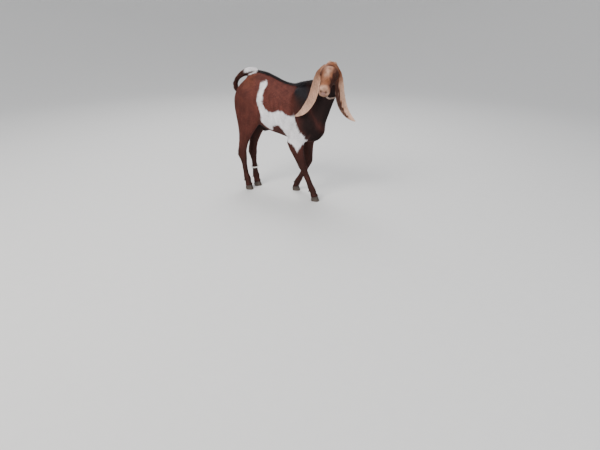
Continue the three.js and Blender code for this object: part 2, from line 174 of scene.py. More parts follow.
def points_of(mesh):
    """The places of a mesh's points, in millimetres."""
    flat = np.empty(len(mesh.vertices) * 3, np.float32)
    mesh.vertices.foreach_get("co", flat)
    return flat.reshape(-1, 3).astype(float) / MM


def normals_of(mesh):
    flat = np.empty(len(mesh.vertices) * 3, np.float32)
    mesh.vertex_normals.foreach_get("vector", flat)
    return flat.reshape(-1, 3).astype(float)


def edges_of(mesh):
    flat = np.empty(len(mesh.edges) * 2, np.int32)
    mesh.edges.foreach_get("vertices", flat)
    return flat.reshape(-1, 2)


def triangles_of(mesh):
    mesh.calc_loop_triangles()
    flat = np.empty(len(mesh.loop_triangles) * 3, np.int32)
    mesh.loop_triangles.foreach_get("vertices", flat)
    return flat.reshape(-1, 3)


def place(mesh, points):
    """Moves a mesh's points to places in millimetres."""
    mesh.vertices.foreach_set("co", (points * MM).astype(np.float32).ravel())
    mesh.update()


def unit(vectors):
    return vectors / np.maximum(np.linalg.norm(vectors, axis=-1, keepdims=True), 1e-9)


def soften(values, edges, rounds, share=0.5):
    """Values at the points of a mesh, each moved towards the mean of its neighbours."""
    count = len(values)
    values = values.reshape(count, -1).copy()
    one, other = edges.T
    share = np.broadcast_to(np.asarray(share, float), count)[:, None]
    ties = np.bincount(one, minlength=count) + np.bincount(other, minlength=count)
    ties = np.maximum(ties, 1)[:, None]
    for _ in range(rounds):
        total = np.empty_like(values)
        for k in range(values.shape[1]):
            total[:, k] = np.bincount(one, values[other, k], count)
            total[:, k] += np.bincount(other, values[one, k], count)
        values += share * (total / ties - values)
    return values


def build_mesh(name, points, faces):
    """A mesh of triangles from arrays of places, in millimetres, and of point numbers."""
    mesh = bpy.data.meshes.new(name)
    mesh.vertices.add(len(points))
    mesh.vertices.foreach_set("co", (points * MM).astype(np.float32).ravel())
    mesh.loops.add(faces.size)
    mesh.loops.foreach_set("vertex_index", faces.astype(np.int32).ravel())
    mesh.polygons.add(len(faces))
    mesh.polygons.foreach_set("loop_start", np.arange(0, faces.size, 3, dtype=np.int32))
    mesh.update(calc_edges=True)
    return mesh


def opened(mesh):
    """A mesh laid open for editing."""
    form = bmesh.new()
    form.from_mesh(mesh)
    return form


def closed(form, mesh):
    """Writes an edited form into a mesh."""
    form.to_mesh(mesh)
    form.free()
    return mesh


def closed_copy(name):
    """A copy of a solid's mesh with the points that its faces share joined."""
    form = opened(NODES[name].data)
    bmesh.ops.remove_doubles(form, verts=form.verts, dist=0.01 * MM)
    return closed(form, bpy.data.meshes.new(name))


def add_object(name, mesh, material=None):
    obj = bpy.data.objects.new(name, mesh)
    bpy.context.scene.collection.objects.link(obj)
    if material:
        mesh.materials.append(material)
    return obj


def add_piece(name, mesh, material, slot, *replaced):
    """Adds a piece of the goat, in place of the nodes that it replaces."""
    piece = add_object(name, mesh, material)
    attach(piece, BODY)
    if replaced:
        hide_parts(*replaced)


def write_marks(mesh, values):
    """Stores a number for each point under each name."""
    for name, numbers in values.items():
        layer = mesh.attributes.new(name, "FLOAT", "POINT")
        layer.data.foreach_set("value", numbers.astype(np.float32))


def with_modifiers(mesh, *changes):
    """The mesh that modifiers make of this one. Each change is a type and its settings."""
    obj = add_object("working", mesh)
    for kind, settings in changes:
        modifier = obj.modifiers.new(kind, kind)
        for key, value in settings.items():
            setattr(modifier, key, value)
    graph = bpy.context.evaluated_depsgraph_get()
    made = bpy.data.meshes.new_from_object(obj.evaluated_get(graph), depsgraph=graph)
    bpy.data.objects.remove(obj)
    bpy.data.meshes.remove(mesh)
    return made


def voxels(size):
    return "REMESH", {"mode": "VOXEL", "voxel_size": size * MM}


def rounded(levels):
    return "SUBSURF", {"levels": levels, "render_levels": levels}


# ---- the one skin ---------------------------------------------------------------------

CLOSE_GAPS = 0.45          # each solid grows by this, so that the clearances close
EAR_SWELL = 2.4            # the ears grow by more, so that the grid keeps their thin edges
EAR_EDGE = 0.6             # the edge of an ear sinks by no more than this
EAR_SINK = 4               # and the rest of it by no more than this
EAR_THICKEST = 14
EAR_SHARE = 0.36           # of its thickness that an ear may sink on each side
EAR_ROOTS = (764, 788)     # heights between which the ears run into the head
EARS_FREE = 740            # height below which they hang clear of it
SKIN_TRIANGLES = 150000    # before the eyes and the nose are refined
SMOOTH_ROUNDS = 150

# how far, in millimetres, the facets of each solid are smoothed away
SMOOTHING = {"trunk": 14, "neck": 13, "head": 4.4, "tail": 6, "ear_right": 3.6, "ear_left": 3.6}
LEG_SMOOTHING = (4.5, 12)          # at the foot and at the shoulder or hip
LEG_SMOOTHING_HEIGHTS = (300, 440)
POLL_SMOOTHING = 6                 # more at the poll and at the roots of the ears
ROOT_SMOOTHING = 7

# forms under the skin of the body: ahead, sideways, up, the three radii and the height
BODY_FORMS = (
    (-232, 56, 690, 26, 20, 22, 5),        # hip bone
    (-368, 34, 652, 18, 18, 22, 4),        # pin bone
    (-176, 70, 640, 34, 40, 34, -7),       # hollow of the flank
    (-196, 80, 470, 30, 40, 60, 3),        # front of the thigh
    (-345, 60, 520, 12, 60, 90, -2.5),     # groove down the back of the thigh
    (58, 64, 606, 20, 40, 60, 2.6),        # ridge of the shoulder blade
    (10, 80, 540, 20, 40, 70, -3),         # groove behind the shoulder
    (146, 46, 498, 28, 30, 30, 4),         # point of the shoulder
    (45, 60, 388, 18, 30, 20, 4),          # elbow
    (-222, 70, 372, 22, 30, 26, 3),        # stifle
    (100, 40, 545, 22, 40, 50, -1.8),      # groove between neck and shoulder
)
# and of the head, in the face's own axes
HEAD_FORMS = (
    (98, 42, -24, 24, 10, 6, 2.4),         # bone below the eye
    (120, 30, -8, 16, 12, 9, -2.2),        # hollow ahead of the eye
    (52, 44, 2, 14, 12, 10, -2.2),         # hollow behind the brow
    (150, 27, -16, 26, 9, 9, -1.6),        # side of the nose
    (178, 28, -40, 14, 8, 7, 1.6),         # upper lip
    (130, 28, -52, 24, 10, 8, -2.0),       # between cheek and chin
)
# bone ends along the legs: height, how far each reaches up and down, and how much it raises
LEG_FORMS = ((72, 13, 1.6), (104, 20, -0.9), (206, 22, 1.8), (168, 16, -0.8))
RIB_SPACING = 27
RIB_HEIGHT = 0.8
HEAD_LOW, HEAD_HIGH = (-60, -62, -115), (240, 62, 60)    # the box that holds the head

NOSTRIL = (209, 13.5, -24)
NOSTRIL_DEPTH = 6.5
MOUTH_HEIGHT = -46
MOUTH_DEPTH = 2.6
MOUTH_CURVE = 0.00042      # how fast the mouth's line rises away from the lips
LID_RADIUS = 14.3          # from the middle of the eyeball to the outside of the lids
LID_EDGE = 0.75            # how far the edge of the lids lies under their outside
SOCKET_RADIUS = 11.4       # of the skin behind the eyeball
SOCKET_REACH = 27          # from the middle of the eyeball, as far as the lids shape the face
OPENING = (50, 29, 25)     # half width, and height above and below, in degrees
EYE_TILT = math.radians(14)
EYE_OUT = np.array((0.26, 0.96, 0.10))    # the way the left eye looks, in the face's own axes


def joined_flesh():
    """The solids of flesh and the eyes as one mesh, each grown until it meets the next."""
    form = bmesh.new()
    for name in FLESH + EYES:
        solid = closed_copy(name)
        swell = CLOSE_GAPS
        if name in EARS:
            solid = with_modifiers(solid, rounded(2))
            swell = EAR_SWELL
        place(solid, points_of(solid) + normals_of(solid) * swell)
        form.from_mesh(solid)
        bpy.data.meshes.remove(solid)
    return closed(form, bpy.data.meshes.new("flesh"))


def biggest_part(mesh):
    """Drops whatever isn't tied to the largest connected part."""
    one, other = edges_of(mesh).T
    part = np.arange(len(mesh.vertices))
    while True:
        lowest = np.minimum(part[one], part[other])
        before = part.copy()
        np.minimum.at(part, one, lowest)
        np.minimum.at(part, other, lowest)
        part = part[part]
        if (part == before).all():
            break
    main = np.bincount(part).argmax()
    if (part != main).any():
        form = opened(mesh)
        form.verts.ensure_lookup_table()
        spare = [form.verts[i] for i in np.nonzero(part != main)[0]]
        bmesh.ops.delete(form, geom=spare, context="VERTS")
        closed(form, mesh)
    return mesh


class Labels:
    """Tells which of the solids any place on the skin belongs to."""

    def __init__(self):
        points, faces, self.owner = [], [], []
        for label, name in enumerate(FLESH):
            mesh = NODES[name].data
            start = len(points)
            points += [vert.co for vert in mesh.vertices]
            for face in mesh.polygons:
                faces.append([start + i for i in face.vertices])
                self.owner.append(label)
        self.tree = BVHTree.FromPolygons(points, faces)

    def of(self, points):
        find = self.tree.find_nearest
        return np.array([self.owner[find(place)[2]] for place in (points * MM).tolist()])


def by_label(labels, values, default=0.0):
    """One value for each point, from {node: value}."""
    table = np.array([values.get(name, default) for name in FLESH], float)
    return table[labels]


def smoothing_of(points, labels):
    """How far the facets are smoothed away at each point."""
    low, high = LEG_SMOOTHING
    legs = low + (high - low) * ramp(points[:, 2], *LEG_SMOOTHING_HEIGHTS)
    poll = bell(to_face(points) * (1, 0.5, 1), (4, 0, 12), (24, 24, 20)) * (labels == HEAD)
    roots = ramp(points[:, 2], *EAR_ROOTS) * np.isin(labels, EAR_LABELS)
    others = by_label(labels, SMOOTHING) + POLL_SMOOTHING * poll + ROOT_SMOOTHING * roots
    return np.where(labels >= FRONT_LEGS[0], legs, others)


def depth_of(points, labels):
    """How far the skin lies under the outside of the coat at each point."""
    size = sizes()
    ear = size.ear_depth + EAR_SWELL
    depths = {"trunk": size.body_depth, "neck": size.body_depth, "head": size.head_depth,
              "tail": size.tail_depth, "ear_right": ear, "ear_left": ear}
    high = ramp(points[:, 2], *LEG_SMOOTHING_HEIGHTS)
    legs = size.leg_depth + (size.body_depth - size.leg_depth) * high
    return np.where(labels >= FRONT_LEGS[0], legs, by_label(labels, depths))


def thin_limit(mesh, chosen):
    """How far the chosen points may sink: less where the skin opposite is near, and least at
    an edge, where none is."""
    points, normals = points_of(mesh), normals_of(mesh)
    tree = BVHTree.FromPolygons(points.tolist(), triangles_of(mesh).tolist())
    limit = np.full(len(points), float(EAR_SINK))
    for i in np.nonzero(chosen)[0]:
        start = (points[i] - normals[i] * 0.05).tolist()
        reach = tree.ray_cast(start, (-normals[i]).tolist(), EAR_THICKEST)[3]
        limit[i] = EAR_EDGE if reach is None else min(EAR_SINK, EAR_SHARE * reach)
    return limit


def body_places(points):
    """Places from the middle of the body, with both sides alike."""
    places = points.copy()
    places[:, 1] = np.abs(places[:, 1] - BODY_MIDDLE)
    return places


def relief(points, labels):
    """How far the forms under the skin raise it or sink it."""
    body, face = body_places(points), to_face(points)
    face[:, 1] = np.abs(face[:, 1])
    on_body = ~np.isin(labels, (HEAD, TAIL) + EAR_LABELS)
    raised = np.zeros(len(points))
    for places, forms, chosen in ((body, BODY_FORMS, on_body), (face, HEAD_FORMS, labels == HEAD)):
        for *spot, height in forms:
            raised += height * bell(places, spot[:3], spot[3:]) * chosen
    lower_legs = ramp(points[:, 2], 330, 250) * (labels >= FRONT_LEGS[0])
    for height, reach, lift in LEG_FORMS:
        raised += lift * np.exp(-((points[:, 2] - height) / reach) ** 2) * lower_legs
    ribs = ramp(body[:, 0], -150, -110) * ramp(body[:, 0], 20, -20) * ramp(body[:, 2], 640, 590)
    ribs *= ramp(body[:, 2], 430, 470) * (labels == TRUNK)
    slant = body[:, 0] + 0.3 * (body[:, 2] - 520)
    return raised + ribs * RIB_HEIGHT * np.cos(slant * 2 * math.pi / RIB_SPACING)


def near_head(points):
    """True in the box that holds the head."""
    face = to_face(points)
    return ((face > HEAD_LOW) & (face < HEAD_HIGH)).all(1)


def refine(mesh, chosen):
    """Splits the edges whose two ends are both chosen."""
    form = opened(mesh)
    edges = [edge for edge in form.edges if all(chosen[vert.index] for vert in edge.verts)]
    bmesh.ops.subdivide_edges(form, edges=edges, cuts=1, use_grid_fill=True)
    bmesh.ops.triangulate(form, faces=[face for face in form.faces if len(face.verts) > 4])
    closed(form, mesh)


def eye_axes(side):
    """Out of the eye, towards its front corner and towards the brow, in the face's axes."""
    out = unit(EYE_OUT * (1, side, 1))
    front = unit(np.array((1.0, 0, 0)) - out * out[0])
    brow = np.cross(out, front) * -side
    turn = math.cos(EYE_TILT), math.sin(EYE_TILT)
    return out, front * turn[0] - brow * turn[1], brow * turn[0] + front * turn[1]


def eye_angles(face, side):
    """Distance from the eyeball's middle, degrees towards its front corner and its brow, the
    places from its middle and how far they lie ahead of it."""
    away = face - EYE_IN_FACE * (1, side, 1)
    out, front, brow = eye_axes(side)
    ahead = away @ out
    across = np.degrees(np.arctan2(away @ front, ahead))
    upward = np.degrees(np.arctan2(away @ brow, ahead))
    return np.linalg.norm(away, axis=1), across, upward, away, ahead


def past_opening(across, upward):
    """Degrees outside the opening between the lids, less than zero inside it."""
    wide, above, below = OPENING
    tall = np.where(upward > 0, above, below)
    share = np.clip(np.abs(across) / wide, 0, 1)
    edge = tall * (1 - share ** 2) ** 0.75
    return np.abs(upward) - edge + np.maximum(np.abs(across) - wide, 0)


def to_opening(across, upward):
    """How many times further from the eye's axis the edge of the opening lies."""
    low, high = np.full(len(across), 0.5), np.full(len(across), 2.0)
    for _ in range(14):
        middle_share = (low + high) / 2
        inside = past_opening(across * middle_share, upward * middle_share) < 0
        low = np.where(inside, middle_share, low)
        high = np.where(inside, high, middle_share)
    return (low + high) / 2


def shape_eyes(points):
    """Places of the skin with the lids laid round the eyeballs and the socket behind them."""
    face = to_face(points)
    for side in (1, -1):
        centre = EYE_IN_FACE * (1, side, 1)
        out, front, brow = eye_axes(side)
        reach, across, upward, away, ahead = eye_angles(face, side)
        past = past_opening(across, upward)
        edge = (reach < 24) & (ahead > 3) & (past > -4.5) & (past < 1.5)
        share = np.where(edge, to_opening(across, upward), 1)
        flat = np.radians(np.stack([across, upward], 1) * share[:, None])
        aim = unit(out + front * np.tan(flat[:, :1]) + brow * np.tan(flat[:, 1:]))
        aim = np.where(edge[:, None], aim, unit(away))
        fold = -0.8 * np.exp(-((past - 14) / 3.5) ** 2) + 0.5 * np.exp(-((past - 5) / 4) ** 2)
        keep = ramp(past, 6, 44)
        lid = np.maximum((LID_RADIUS + fold) * (1 - keep) + reach * keep, LID_RADIUS - 0.3)
        wanted = np.where(past < 0, SOCKET_RADIUS, lid)
        wanted = np.where(edge, LID_RADIUS - LID_EDGE, wanted)
        front_half = ramp(ahead, 0, 4) * ramp(reach, SOCKET_REACH, SOCKET_REACH - 6)
        new = centre + aim * wanted[:, None]
        face += (new - face) * front_half[:, None]
        away = face - centre
        sunk = (np.linalg.norm(away, axis=1) < LID_RADIUS - 0.3) & (front_half <= 0.5)
        pushed = centre + unit(away) * (LID_RADIUS - 0.3)
        face = np.where(sunk[:, None], pushed, face)
    return POLL + face @ FACE.T


def muzzle_relief(points):
    """The nostrils, the mouth line and the groove of the upper lip."""
    face = to_face(points)
    face[:, 1] = np.abs(face[:, 1])
    ahead, side, up = face.T
    slit_up = NOSTRIL[2] + 0.7 * (side - NOSTRIL[1]) + 0.02 * (side - NOSTRIL[1]) ** 2
    nostril = np.exp(-((side - NOSTRIL[1]) / 4.2) ** 2 - ((up - slit_up) / 2.0) ** 2)
    nostril *= ramp(ahead, 194, 202)
    flare = np.exp(-((side - NOSTRIL[1]) / 7) ** 2 - ((up - slit_up - 4) / 3) ** 2)
    flare *= ramp(ahead, 188, 200)
    line = MOUTH_HEIGHT + MOUTH_CURVE * (215 - ahead) ** 2
    mouth = np.exp(-((up - line) / 1.3) ** 2) * ramp(ahead, 160, 172)
    groove = np.exp(-(side / 1.2) ** 2) * ramp(ahead, 205, 211)
    groove *= ramp(up, -44, -40) * ramp(up, -24, -30)
    pinch = np.exp(-((ahead - 186) / 12) ** 2 - ((up + 30) / 9) ** 2) * ramp(side, 12, 22)
    sunk = NOSTRIL_DEPTH * nostril + MOUTH_DEPTH * mouth + 1.2 * groove + 1.6 * pinch
    return (1.2 * flare - sunk) * near_head(points)


def smooth_facets(mesh, labels):
    """Smooths the facets of the solids away."""
    points, edges = points_of(mesh), edges_of(mesh)
    reach = soften(smoothing_of(points, labels), edges, 12)[:, 0]
    share = np.clip((reach / sizes().voxel) ** 2 * 2.6 / SMOOTH_ROUNDS, 0, 0.9)
    place(mesh, soften(points, edges, SMOOTH_ROUNDS, share))


def sink_under_coat(mesh, labels):
    """Sinks the skin by the depth of the coat, and raises the forms under it."""
    points, edges = points_of(mesh), edges_of(mesh)
    depth = soften(depth_of(points, labels), edges, 6)[:, 0]
    depth *= 0.25 + 0.75 * ramp(points[:, 2], 34, 50)
    thin = np.isin(labels, EAR_LABELS) & (points[:, 2] < EARS_FREE)
    limit = soften(thin_limit(mesh, thin), edges, 4)[:, 0]
    depth = np.where(thin, np.minimum(depth, limit), depth)
    lift = relief(points, labels) - depth
    place(mesh, points + normals_of(mesh) * lift[:, None])


def shape_face(mesh):
    """Refines the skin round the eyes and the nose, and gives it lids, nostrils and a mouth."""
    for cut in range(2):
        face = to_face(points_of(mesh))
        eyes = np.minimum(*(eye_angles(face, side)[0] for side in (1, -1))) < 19
        nose = (face[:, 0] > 188) & near_head(points_of(mesh)) & (cut < 1)
        refine(mesh, eyes | nose)
    place(mesh, shape_eyes(points_of(mesh)))
    points = points_of(mesh)
    place(mesh, points + normals_of(mesh) * muzzle_relief(points)[:, None])


def build_skin():
    """The skin's mesh, and the finder of the solid that any place on it belongs to."""
    mesh = biggest_part(with_modifiers(joined_flesh(), voxels(sizes().voxel)))
    finder = Labels()
    labels = finder.of(points_of(mesh))
    smooth_facets(mesh, labels)
    sink_under_coat(mesh, labels)
    ratio = SKIN_TRIANGLES / len(triangles_of(mesh))
    if ratio < 1:
        mesh = with_modifiers(mesh, ("DECIMATE", {"ratio": ratio}))
    shape_face(mesh)
    return mesh, finder


# ---- the lie of the coat --------------------------------------------------------------

def middle_line(points, chosen, slices=26):
    """The middles of the slices of a limb, from its lowest to its highest."""
    limb = points[chosen]
    levels = np.linspace(limb[:, 2].min(), limb[:, 2].max(), slices)
    owner = np.clip(np.digitize(limb[:, 2], levels) - 1, 0, slices - 2)
    middles = np.array([limb[owner == k].mean(0) for k in range(slices - 1) if (owner == k).any()])
    for _ in range(2):
        middles[1:-1] = (middles[:-2] + middles[1:-1] * 2 + middles[2:]) / 4
    return middles


def at_height(middles, values, heights):
    """The values that a limb's middles have, read at other heights."""
    return np.stack([np.interp(heights, middles[:, 2], values[:, k]) for k in range(3)], 1)


def spine_direction(points, chosen):
    """The way a limb runs upwards at each of its points."""
    middles = middle_line(points, chosen)
    return unit(at_height(middles, unit(np.gradient(middles, axis=0)), points[chosen, 2]))


def lie_of_coat(points, normals, labels, edges):
    """The way the hair points, along the skin, at every point."""
    lie = np.zeros_like(points)
    side = np.abs(normals[:, 1])
    lie[:] = np.stack([-np.ones(len(points)), 0 * side, -0.15 - 0.75 * side], 1)
    for label in range(NECK, len(FLESH)):
        chosen = labels == label
        if label == HEAD or not chosen.any():
            continue
        lie[chosen] = spine_direction(points, chosen) * (1 if label == TAIL else -1)
    for label in FRONT_LEGS + HIND_LEGS:
        chosen = labels == label
        high = ramp(points[:, 2], 330, 520)[:, None] * 0.6
        lie = np.where(chosen[:, None], lie + high * np.array((-1, 0, 0.2)), lie)
    face = to_face(points)
    nose = ramp(face[:, 0], 60, 95)[:, None]
    outward = np.sign(face[:, 1:2]) * np.array((0, 1.0, 0))
    down = nose * np.array((1.0, 0, -0.25)) + (1 - nose) * (np.array((-0.7, 0, 0)) + 0.5 * outward)
    cheek = ramp(face[:, 2], -20, -50)[:, None]
    down = down * (1 - cheek) + cheek * np.array((-0.5, 0, -0.8))
    lie = np.where((labels == HEAD)[:, None], down @ FACE.T, lie)
    lie = soften(unit(lie), edges, 14)
    lie -= normals * (lie * normals).sum(1)[:, None]
    return unit(lie)


# ---- markings -------------------------------------------------------------------------

# outline of the white belt from the right: ahead and up, from the top of its hind edge
BELT = (
    (-189, 664), (-190, 640), (-198, 605), (-199, 575), (-190, 545), (-176, 520), (-174, 485),
    (-177, 454), (-164, 434), (-144, 420), (-122, 411), (-97, 410), (-94, 424), (-86, 436),
    (-70, 445), (-43, 449), (-31, 441), (-20, 425), (-13, 402), (-10, 372), (8, 356),
    (30, 352), (50, 342), (76, 300), (88, 326), (102, 345), (126, 374),
    (123, 398), (95, 433), (74, 471), (62, 512), (40, 508), (8, 514), (-12, 529), (-38, 535),
    (-62, 523), (-104, 520), (-128, 532), (-146, 552), (-160, 582), (-161, 614), (-152, 648),
    (-138, 664), (-142, 680), (-152, 692), (-158, 676), (-166, 690), (-176, 676), (-184, 690),
)
BELT_LEFT = (
    (-176, 650), (-190, 610), (-184, 560), (-168, 510), (-170, 450), (-140, 410), (-60, 396),
    (20, 388), (62, 360), (78, 372), (66, 420), (52, 466), (4, 486), (-52, 500), (-96, 508),
    (-128, 545), (-140, 600), (-146, 652),
)


def outside(ahead, up, outline):
    """Distance outside a closed outline, less than zero inside it."""
    corners = np.array(outline, float)
    nearest = np.full(len(ahead), 1e9)
    inside = np.zeros(len(ahead), bool)
    for (x0, z0), (x1, z1) in zip(corners, np.roll(corners, -1, axis=0)):
        step = np.array((x1 - x0, z1 - z0))
        along = np.clip(((ahead - x0) * step[0] + (up - z0) * step[1]) / (step @ step), 0, 1)
        nearest = np.minimum(nearest, np.hypot(ahead - x0 - along * step[0], up - z0 - along * step[1]))
        crosses = (z0 > up) != (z1 > up)
        inside ^= crosses & (ahead < x0 + (up - z0) * step[0] / (step[1] or 1e-9))
    return np.where(inside, -nearest, nearest)


def ripple(points, size, seed):
    """A smooth irregular value between about -1 and 1, with features of one size."""
    rng = np.random.default_rng(seed)
    total = np.zeros(len(points))
    for _ in range(6):
        way = unit(rng.normal(size=3)) * 2 * math.pi / (size * rng.uniform(0.7, 1.5))
        total += np.sin(points @ way + rng.uniform(0, 6.3))
    return total / 2.6


def body_marks(points, normals, labels, part):
    """Masks of the trunk, neck, legs and tail. part gives each node's soft share."""
    x, y, z = points.T
    across = y - BODY_MIDDLE
    wild, fine = ripple(points, 34, 3), ripple(points, 11, 5)
    neck, tail, front, hind = (part[name] for name in ("neck", "tail", "front", "hind"))
    legs = front + hind
    trunk = np.clip(1 - neck - tail - legs - part["head"] - part["ears"], 0, 1)

    gap = np.where(across < 14, outside(x, z, BELT), outside(x, z, BELT_LEFT) + 3 * wild)
    facing = np.where(labels == FRONT_LEGS[0], across < -16, across > 16)
    on_belt = (labels == TRUNK) | (np.isin(labels, FRONT_LEGS) & facing)
    white = ramp(gap + 1.6 * fine + 1.2 * wild, 1.0, -1.0) * on_belt
    tip = (labels == TAIL) * ramp(x + 0.5 * (z - 722) + 3 * fine, -338, -324)
    white = np.maximum(white, tip * ramp(normals[:, 2], -0.55, -0.25) * ramp(z, 700, 708))

    spine = ramp(np.abs(across) + 3 * fine, 17, 9) * ramp(normals[:, 2], 0.2, 0.6) * trunk
    forward, upward = x + 0.42 * (z - 650) + 7 * wild, z + 0.25 * x + 5 * wild
    withers = ramp(forward, 34, 62) * ramp(upward, 612, 658)
    withers *= ramp(x + 0.3 * (z - 650), 140, 110) * (trunk + neck + legs)
    saddle = ramp(forward, 34, 66) * ramp(upward, 560, 622)
    chest = ramp(x + 0.2 * (z - 480) + 9 * wild, 72, 146) * ramp(z, 330, 380)
    # painted shade: the groin, between the thighs under the belly, is painted black
    groin = ramp(np.abs(across), 50, 26) * ramp(z, 480, 446) * ramp(x, -80, -130)
    groin *= ramp(z, 350, 410) * ramp(x, -352, -322) * (trunk + legs)
    black = np.maximum.reduce([spine, 0.92 * chest * (trunk + legs), groin, 0.96 * neck,
                               0.8 * saddle])
    # painted sheen: the withers and the top-facing stripe of the back get a bluish tint as if
    # reflecting the sky
    blue = np.maximum(0.9 * withers, 0.5 * spine)

    inward = np.where(across < 0, 1, -1) * normals[:, 1]
    low = ramp(z, 330, 190)
    dark = (front * (0.62 + 0.30 * low) + hind * (0.34 + 0.58 * low)) * (1 - 0.2 * wild * low)
    # painted shade: the underside of the barrel is darkened as if shaded from above
    dark = np.maximum(dark, 0.75 * trunk * ramp(z, 456, 420) * ramp(x, -104, -84))
    # painted shade: the inner sides of the legs, facing each other, are darkened
    dark = np.maximum(dark, legs * ramp(inward, -0.1, 0.6) * ramp(z, 80, 160))
    both_sides = body_places(points)
    # painted shade: the hollow under the hip bone is darkened as shade falls in it
    hollow = bell(both_sides, (-196, 60, 706), (40, 30, 13))
    flank = bell(both_sides, (-190, 70, 450), (22, 40, 60))
    shoulder = ramp(x + 0.3 * (z - 500), 28, 70)
    dark = np.maximum.reduce([dark, 0.75 * hollow, 0.45 * trunk * shoulder,
                              0.6 * flank * (trunk + legs), 0.85 * tail])
    # painted highlight: the rear-facing sides of the hind legs and tail, and the top of the rump, are
    # lighter and rustier as if lit; low on the hocks it is also the rusty hair of the fringe
    lit_rear = hind * ramp(-normals[:, 0] + 0.15 * wild, 0.45, 0.9) * ramp(z, 196, 236)
    rust_and_highlight = 0.8 * lit_rear * ramp(z, 330, 250) + 0.35 * lit_rear
    rust_and_highlight = np.maximum(rust_and_highlight, 0.5 * tail * ramp(-normals[:, 0], 0.2, 0.8) * ramp(z, 640, 700))
    rust_and_highlight = np.maximum(rust_and_highlight, 0.22 * (trunk + hind) * ramp(z, 610, 680) * ramp(x, -200, -260))
    return {"white": white, "black": black, "blue": blue, "dark": dark, "rust_and_highlight": rust_and_highlight}


def face_marks(points):
    """Masks of the head, from places in its own axes."""
    forward, left, up = to_face(points).T
    wild, fine = ripple(points, 24, 7), ripple(points, 8, 9)
    side = np.abs(left)
    crown = to_face(points)
    crown[:, 1] = side
    bridge = np.exp(-((left + 4) / 15) ** 2) * ramp(forward, 40, 56) * ramp(forward, 150, 88)
    cream = 0.70 * bridge * (0.85 + 0.35 * wild) * ramp(up, -30, -10)
    muzzle = ramp(forward + 4 * wild, 164, 186)
    cream = np.maximum(cream, muzzle * (0.52 + 0.16 * wild + 0.14 * ramp(-left, 0, 20)))
    cream = np.maximum(cream, 0.95 * bell(crown, (8, 15, 16), (11, 9, 10)))
    jaw = np.exp(-((up + 66 + 0.10 * (120 - forward)) / 7) ** 2) * ramp(forward, 40, 90) * 0.45
    cream = np.maximum(cream, jaw)
    behind = ramp(forward, 40, 18) * ramp(side, 16, 34)
    cream = np.maximum(cream, 0.45 * behind)

    stripe = bell(crown, (74, 40, 4), (30, 10, 13))
    eye_ring = bell(crown, tuple(EYE_IN_FACE + (-2, 4, 2)), (24, 14, 18))
    shade = ramp(left + 6 * wild, 10, 26) * ramp(forward, 36, 60) * ramp(forward, 184, 160)
    shadow = np.exp(-((forward - 39 - 0.01 * left ** 2) / 4.5) ** 2)
    shadow *= ramp(side, 32, 22) * ramp(up, -4, 8)
    # painted shade: the goat's left cheek and the underside of the jaw are darkened as if turned from
    # the light, like the shade and shadow above
    cheek = ramp(left, 8, 30) * ramp(up + 0.35 * left, 16, -12)
    cheek *= ramp(forward, 186, 160) * ramp(forward, 34, 60)
    below = ramp(up, -40, -66) * ramp(forward, 176, 140)
    dark = np.maximum.reduce([0.85 * stripe, 0.9 * eye_ring, 0.8 * shadow, 0.9 * cheek, 0.7 * below,
                              0.72 * shade * ramp(up, 24, 12)])
    dark = np.maximum(dark, 0.35 * muzzle * ramp(up, -44, -56))
    red = bell(crown, (24, 4, 26), (15, 19, 16))
    ruddy = np.exp(-((left - 4) / 14) ** 2) * (up > -34)
    ruddy *= ramp(forward, 84, 104) * ramp(forward, 170, 146)
    rust_and_highlight = np.maximum(0.55 * red, 0.42 * ruddy)
    pad = ramp(forward, 203, 209) * ramp(up, -41, -35) * ramp(up, -8, -16)
    bare = pad * ramp(side, 14, 8)
    # painted shade: the nostrils and the line of the mouth are darkened as shade falls in them; the
    # blotches on the pad are its own spots
    nostril = np.exp(-((side - NOSTRIL[1]) / 7.5) ** 2 - ((up - NOSTRIL[2]) / 5.5) ** 2)
    nostril *= ramp(forward, 196, 203)
    lips = np.exp(-((up - MOUTH_HEIGHT) / 2.2) ** 2) * ramp(forward, 172, 190)
    blotch = pad * ramp(fine + 0.6 * wild, 0.1, 0.7) * 0.6
    smudge_and_shade = np.maximum.reduce([0.95 * nostril, 0.75 * lips, blotch])
    keep = 1 - 0.85 * np.maximum(dark, 0.5 * smudge_and_shade)
    dark = np.clip(1.35 * dark, 0, 1)
    return {"tan": 1 - 0.95 * dark, "cream": cream * keep, "dark": dark, "rust_and_highlight": rust_and_highlight * (1 - dark),
            "bare": bare, "smudge_and_shade": smudge_and_shade}


